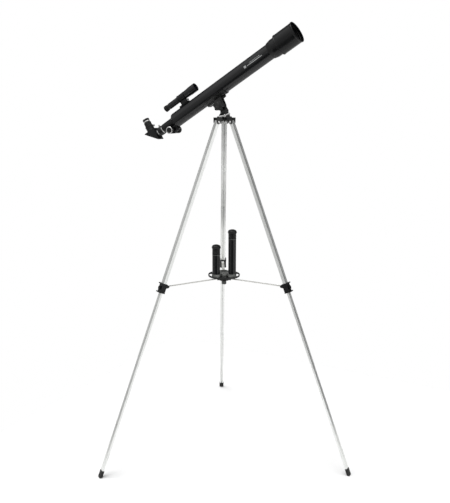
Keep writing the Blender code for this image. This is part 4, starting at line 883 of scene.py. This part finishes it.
def focus_knob(name, turn, r):
    """A fluted grip with a bright rim and a stepped face."""
    grip = [(0.0025, 0.0122), (0.006, 0.0122), (0.0065, 0.013), (0.0065, 0.0195), (r - 0.0012, 0.02),
            (r, 0.0212), (r, 0.0292), (0.0025, 0.0292)]
    rim = [(r - 0.0003, 0.029), (r, 0.0297), (r, 0.0318), (r - 0.001, 0.0325), (0.0092, 0.0322),
           (0.0088, 0.029)]
    face = [(0, 0.0334), (0.004, 0.0334), (0.0046, 0.034), (0.008, 0.034), (0.0092, 0.0332),
            (0.0092, 0.0285), (0, 0.0285)]
    parts = [one(hollow(grip, "Y", 144, wave=(36, 0.0008, 0.0204, 0.029))), (hollow(rim, "Y"), 1, None),
             one(lathe(face, "Y", 64))]
    place = TUBE @ at(SHAFT_X, 0, SHAFT_N) @ rot(turn, "Z")
    piece(name, "focus_shaft", place, parts, [PLASTIC, CHROME])


def thumbscrew(name, body, place, bottom=0.013, head=0.017, r=0.0034):
    """A knurled head with a shouldered end, on a plain shank."""
    top, shank = head + 0.0052, 0.0016
    profile = raised(top, [(0, -0.0006), (r * 0.5, -0.0006), (r * 0.62, 0), (r - 0.0006, 0), (r, -0.0006)])
    profile += raised(head, [(r, 0.0014), (r - 0.0006, 0.0008), (r - 0.001, 0), (shank, 0), (0, 0)])
    knurl = lathe(profile, "Z", 96, wave=(24, 0.0004, head + 0.0012, top - 0.0004))
    parts = [(knurl, 1, None), one(rod(shank, head + 0.001, bottom, "Z", 24))]
    piece(name, body, place, parts, [CHROME, STEEL])


# ---- diagonal and eyepiece
def diagonal_housing():
    """A prism box with a screwed cover on its slope and a grooved socket on top."""
    h, wide, waist, bore, low = PRISM_HALF, 0.015, 0.0144, BARREL_R + GAP, PRISM_HALF - 0.002
    outline = [(-h - 0.002, h), (-h - 0.002, h - 0.002), (h - 0.002, -h - 0.002), (h, -h - 0.002), (h, h)]
    body = slab(soften(outline, 0.001, closed=True), -PRISM_W / 2, PRISM_W / 2, "Y", 0.0009)
    groove = raised(h, [(wide, 0.0145), (waist, 0.0138), (waist, 0.0028), (wide, 0.002)])
    socket = [(wide, SOCKET_TOP)] + groove + [(wide, low), (bore, low), (bore, SOCKET_TOP)]
    cover = slab(rectangle(-0.024, -0.0122, 0.024, 0.0122, 0.0015), -0.0009, 0.0002, "Z", 0.0004)
    turn = at(-0.002, 0, -0.002) @ rot(45, "Y")
    parts = [one(body), one(hollow(socket, "Z")), (cover, 0, turn)]
    for x in (-0.0205, 0.0205):
        for y in (-0.0095, 0.0095):
            parts.append((screw_head(0.0014, 0.0005), 1, turn @ at(x, y, -0.0009) @ rot(180, "X")))
    piece("diagonal_housing", "diagonal", TUBE @ at(PRISM_X), parts, [PLASTIC, BLACKED], settled=True)


def diagonal_barrel():
    bore, nose = 0.0108, PRISM_HALF
    barrel = raised(nose, [(BARREL_R, 0.024), (BARREL_R, 0.004), (bore, 0.004), (bore, 0.024)])
    flange = raised(nose, [(0.0142, 0.0045), (0.0142, GAP), (bore, GAP), (bore, 0.0045)])
    parts = [one(hollow(barrel, "X")), (hollow(flange, "X"), 1, None)]
    piece("diagonal_barrel", "diagonal", TUBE @ at(PRISM_X), parts, [CHROME, PLASTIC])


def eyepiece():
    """A grooved body on a bright barrel, with a bright ring under a soft eye cup."""
    seat, top, wide, waist, bore, hole = SOCKET_TOP, 0.068, 0.013, 0.0126, 0.0105, 0.0066
    body = raised(top, [(0.0098, -0.0112), (0.0118, -0.0122), (wide, -0.0145), (wide, -0.018),
                        (waist, -0.0184), (waist, -0.0196), (wide, -0.02)])
    body += raised(seat, [(wide, GAP), (BARREL_R, GAP), (BARREL_R, -0.0002), (bore, -0.0002)])
    body += raised(top, [(bore, -0.0155), (hole, -0.0155), (hole, -0.0112)])
    barrel = raised(seat, [(BARREL_R, 0), (BARREL_R, -0.0165), (bore, -0.0165), (bore, 0)])
    ring = raised(top, [(0.0106, -0.0072), (0.0114, -0.008), (0.0114, -0.0108), (0.0106, -0.0115),
                        (0.007, -0.0115), (0.007, -0.0072)])
    cup = raised(top, [(0.0115, 0), (0.012, -0.001), (0.012, -0.006), (0.0108, -0.0074), (hole, -0.0074),
                       (hole, -0.0045), (0.009, 0)])
    parts = [(hollow(shape, "Z"), index, None)
             for shape, index in ((body, 0), (barrel, 1), (ring, 1))]
    parts.append((hollow(cup, "Z", round_off=0.0008), 2, None))
    piece("eyepiece", "eyepiece", TUBE @ at(PRISM_X), parts, [PLASTIC, CHROME, RUBBER], settled=True)


# ---- finder
def finder_tube():
    """A tube with a wide grooved front end and a narrow waist at the bracket, and its lens."""
    front, rear, stalk, place = FINDER_FRONT, FINDER_REAR, FINDER_STALK, TUBE @ at(z=FINDER_N)
    wide, mouth, inside, lens_r = 0.0142, 0.0121, 0.0088, 0.0118
    shell = raised(front, [(0.014, 0), (wide, -0.001), (wide, -0.004), (0.0138, -0.0045),
                           (0.0138, -0.0055), (wide, -0.006), (wide, -0.026), (0.0134, -0.032),
                           (0.0128, -0.046)])
    shell += raised(stalk, [(0.0126, 0.0166), (FINDER_R, 0.0158)])
    shell += raised(rear, [(FINDER_R, 0.0195), (0.0101, 0.018), (inside, 0.018)])
    shell += raised(front, [(inside, -0.04), (mouth, -0.03), (mouth, 0)])
    tube = hollow(shell, "X", round_off=0.0008)
    piece("finder_tube", "tube", place, [one(tube)], [ENAMEL])
    lens = raised(front, [(0, -0.009), (0.006, -0.0094), (lens_r, -0.0105), (lens_r, -0.013),
                          (0, -0.013)])
    lens = lathe(lens, "X", 64, round_off=0.0002)
    piece("finder_objective", "tube", place, [one(lens)], [LENS])


def finder_eyepiece():
    """A sleeve in the finder's rear end with a fluted grip and a dished eye end."""
    slim, bore, grip, rear = 0.0085, 0.0072, 0.0105, FINDER_REAR
    eye = raised(rear, [(slim, 0.034), (slim, 0.0125), (0.0103, 0.012), (grip, 0.0112), (grip, 0.0052),
                        (0.0103, 0.0048), (0.0109, 0.004), (0.0109, 0.0006), (0.0104, 0), (0.0056, 0),
                        (0.005, 0.001), (0.005, 0.01), (bore, 0.012), (bore, 0.034)])
    eye = hollow(eye, "X", 120, wave=(30, 0.0004, rear + 0.005, rear + 0.0116))
    piece("finder_eyepiece", "finder_eyepiece", TUBE @ at(z=FINDER_N), [one(eye)])


def finder_bracket():
    """A ring round the finder on a post, and a curved foot held to the tube by two screws."""
    n, stalk, bore, top = FINDER_N, FINDER_STALK, FINDER_R + GAP, TUBE_R + 0.005
    ring = raised(stalk, [(0.0126, 0.015), (0.0132, 0.0142), (0.0132, 0.011), (0.0127, 0.01),
                          (0.0127, -0.01), (0.0132, -0.011), (0.0132, -0.0142), (0.0126, -0.015),
                          (bore, -0.015), (bore, 0.015)])
    post = block((stalk - 0.0125, -0.0045, 0.0285 - n), (stalk + 0.0125, 0.0045, -0.0108), 0.0014)
    across = arc(0, 0, top, 62, 118, 14) + arc(0, 0, TUBE_R + GAP, 118, 62, 14)
    foot = slab(across, stalk - 0.019, stalk + 0.019, "X", 0.0007)
    parts = [one(hollow(ring, "X")), one(post), (foot, 0, at(z=-n))]
    for x in (-0.0155, 0.0155):
        parts.append((screw_head(0.0016, 0.0006), 1, at(stalk + x, 0, top - n)))
    piece("finder_bracket", "tube", TUBE @ at(z=n), parts, [PLASTIC, STEEL])


# ---- the object
def tripod():
    tripod_head()
    for number in LEGS:
        leg_bolt(number)
    for number in LEGS:
        leg(number)
        brace(number)
    spreader_hub()
    accessory_tray()
    tray_knob()
    standing_lens("barlow_lens", 3, BARLOW_TOP, False)
    standing_lens("erecting_lens", 1, ERECTOR_TOP, True)


def head():
    azimuth_base()
    altitude_bolt()
    altitude_knob()
    azimuth_lock()
    saddle()


def telescope():
    main_tube()
    objective_cell()
    objective_lens()
    dew_shield()
    focuser_housing()
    pinion_cover()
    tension_screw()
    drawtube()
    focus_knob("focus_knob_right", 180, 0.0125)
    focus_knob("focus_knob_left", 0, 0.0118)
    thumbscrew("drawtube_thumbscrew", "drawtube_screw", TUBE @ at(DRAW_END + 0.007))
    diagonal_housing()
    diagonal_barrel()
    socket = TUBE @ at(PRISM_X) @ at(z=PRISM_HALF + 0.011)
    thumbscrew("diagonal_thumbscrew", "diagonal_screw", socket @ rot(90, "Y"))
    eyepiece()
    finder_tube()
    finder_eyepiece()
    finder_bracket()
    thumbscrew("finder_thumbscrew", "finder_screw", TUBE @ at(FINDER_STALK, 0, 0.0345) @ rot(90, "Y"),
               bottom=0.005, head=0.015, r=0.0036)


def finish_cad_nodes():
    """The CAD nodes whose shape is right keep it and take a finish."""
    for name, mat in (("drawtube_rack", BRASS), ("pinion_shaft", STEEL), ("diagonal_prism", PRISM),
                      ("eye_lens", LENS)):
        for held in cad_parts[name].material_slots:
            held.material = mat


# ---- floor, light and camera
FLOOR_HALF = 0.85
ROOM_LOW, ROOM_HIGH = (-0.4, 0.7), (0.8, 1.1)
# Soft cones in the room's light: turn and lift in degrees, cosine of the full and of the outer edge,
# and how much the light is dimmed there; a negative amount brightens.
CONES = ((-61, -35, 0.88, 0.78, 0.9), (61, 12, 0.95, 0.8, 0.85), (119, 38, 0.84, 0.6, 0.8),
         (181, 9, 0.96, 0.82, 0.55), (241, -12, 0.96, 0.85, 0.25), (1, -12, 0.95, 0.8, -0.4))
WHITE = (1.0, 1.0, 1.0, 1)
SKY_WIDTH, SKY_POWER, SKY_TURN = radians(50), 1.7, (radians(12), radians(-14), 0)
CAMERA_AWAY, CAMERA_HEIGHT, CAMERA_TURN = 2.22596, 1.21499, radians(28.799)
CAMERA_PITCH, CAMERA_ROLL, CAMERA_LENS, CAMERA_SHIFT = 0.219157, 0.002569, 46.7755, (0.001774, 0.001312)


def floor():
    bm = bmesh.new()
    bmesh.ops.create_grid(bm, x_segments=1, y_segments=1, size=FLOOR_HALF)
    mesh = bpy.data.meshes.new("floor")
    bm.to_mesh(mesh)
    bm.free()
    mesh.materials.append(finish("pale_floor", (0.88, 0.88, 0.88), (0.9, 0.9, 0.9), (0.7, 0.8),
                                 grain=(60, 0.0001, 0.1), blotch=1.5, wear_amount=0.0))
    placed("floor", mesh)


def room_level(tree, way):
    """The room's light by direction: brighter upwards, dimmed or brightened within the cones."""
    height = node(tree, "ShaderNodeSeparateXYZ", {0: way}).outputs["Z"]
    level = ramp(tree, height, ROOM_LOW[0], ROOM_HIGH[0], ROOM_LOW[1], ROOM_HIGH[1])
    for turn, lift, inner, outer, dark in CONES:
        a, e = radians(turn), radians(lift)
        middle = (cos(a) * cos(e), sin(a) * cos(e), sin(e))
        facing = node(tree, "ShaderNodeVectorMath", {0: way, 1: middle}, operation="DOT_PRODUCT")
        shade = ramp(tree, facing.outputs["Value"], outer, inner, 1.0, 1.0 - dark,
                     interpolation_type="SMOOTHSTEP")
        level = maths(tree, "MULTIPLY", level, shade)
    return level


def studio():
    """A white backdrop lit by a soft room, and a wide lamp for the shadow under the feet."""
    world = bpy.data.worlds.new("studio")
    bpy.context.scene.world = world
    world.use_nodes = True
    tree = world.node_tree
    tree.nodes.clear()
    way = node(tree, "ShaderNodeTexCoord").outputs["Generated"]
    level = room_level(tree, way)
    room = node(tree, "ShaderNodeBackground", {"Color": WHITE, "Strength": level})
    seen = node(tree, "ShaderNodeBackground", {"Color": WHITE, "Strength": 1.0})
    path = node(tree, "ShaderNodeLightPath").outputs["Is Camera Ray"]
    mixed = node(tree, "ShaderNodeMixShader", {0: path, 1: room.outputs[0], 2: seen.outputs[0]})
    target = node(tree, "ShaderNodeOutputWorld")
    tree.links.new(mixed.outputs[0], target.inputs["Surface"])
    sky = bpy.data.lights.new("sky", "SUN")
    sky.angle = SKY_WIDTH
    sky.energy = SKY_POWER
    placed("sky", sky).rotation_euler = SKY_TURN


def camera():
    """Level with the head of the tripod, looking down a little, from between two legs."""
    turn, pitch = CAMERA_TURN, CAMERA_PITCH
    data = bpy.data.cameras.new("camera")
    data.sensor_width = 36.0
    data.sensor_fit = "AUTO"
    data.lens = CAMERA_LENS
    data.shift_x, data.shift_y = CAMERA_SHIFT
    data.clip_end = 60.0
    made = placed("camera", data)
    made.location = (TRIPOD_X + CAMERA_AWAY * sin(turn), -CAMERA_AWAY * cos(turn), CAMERA_HEIGHT)
    forward = Vector((-sin(turn) * cos(pitch), cos(turn) * cos(pitch), -sin(pitch)))
    level = forward.to_track_quat("-Z", "Y").to_matrix().to_4x4()
    made.rotation_euler = (level @ Matrix.Rotation(CAMERA_ROLL, 4, "Z")).to_euler()
    bpy.context.scene.camera = made
    bpy.context.scene.view_settings.view_transform = "Standard"


tripod()
head()
telescope()
finish_cad_nodes()
floor()
studio()
camera()
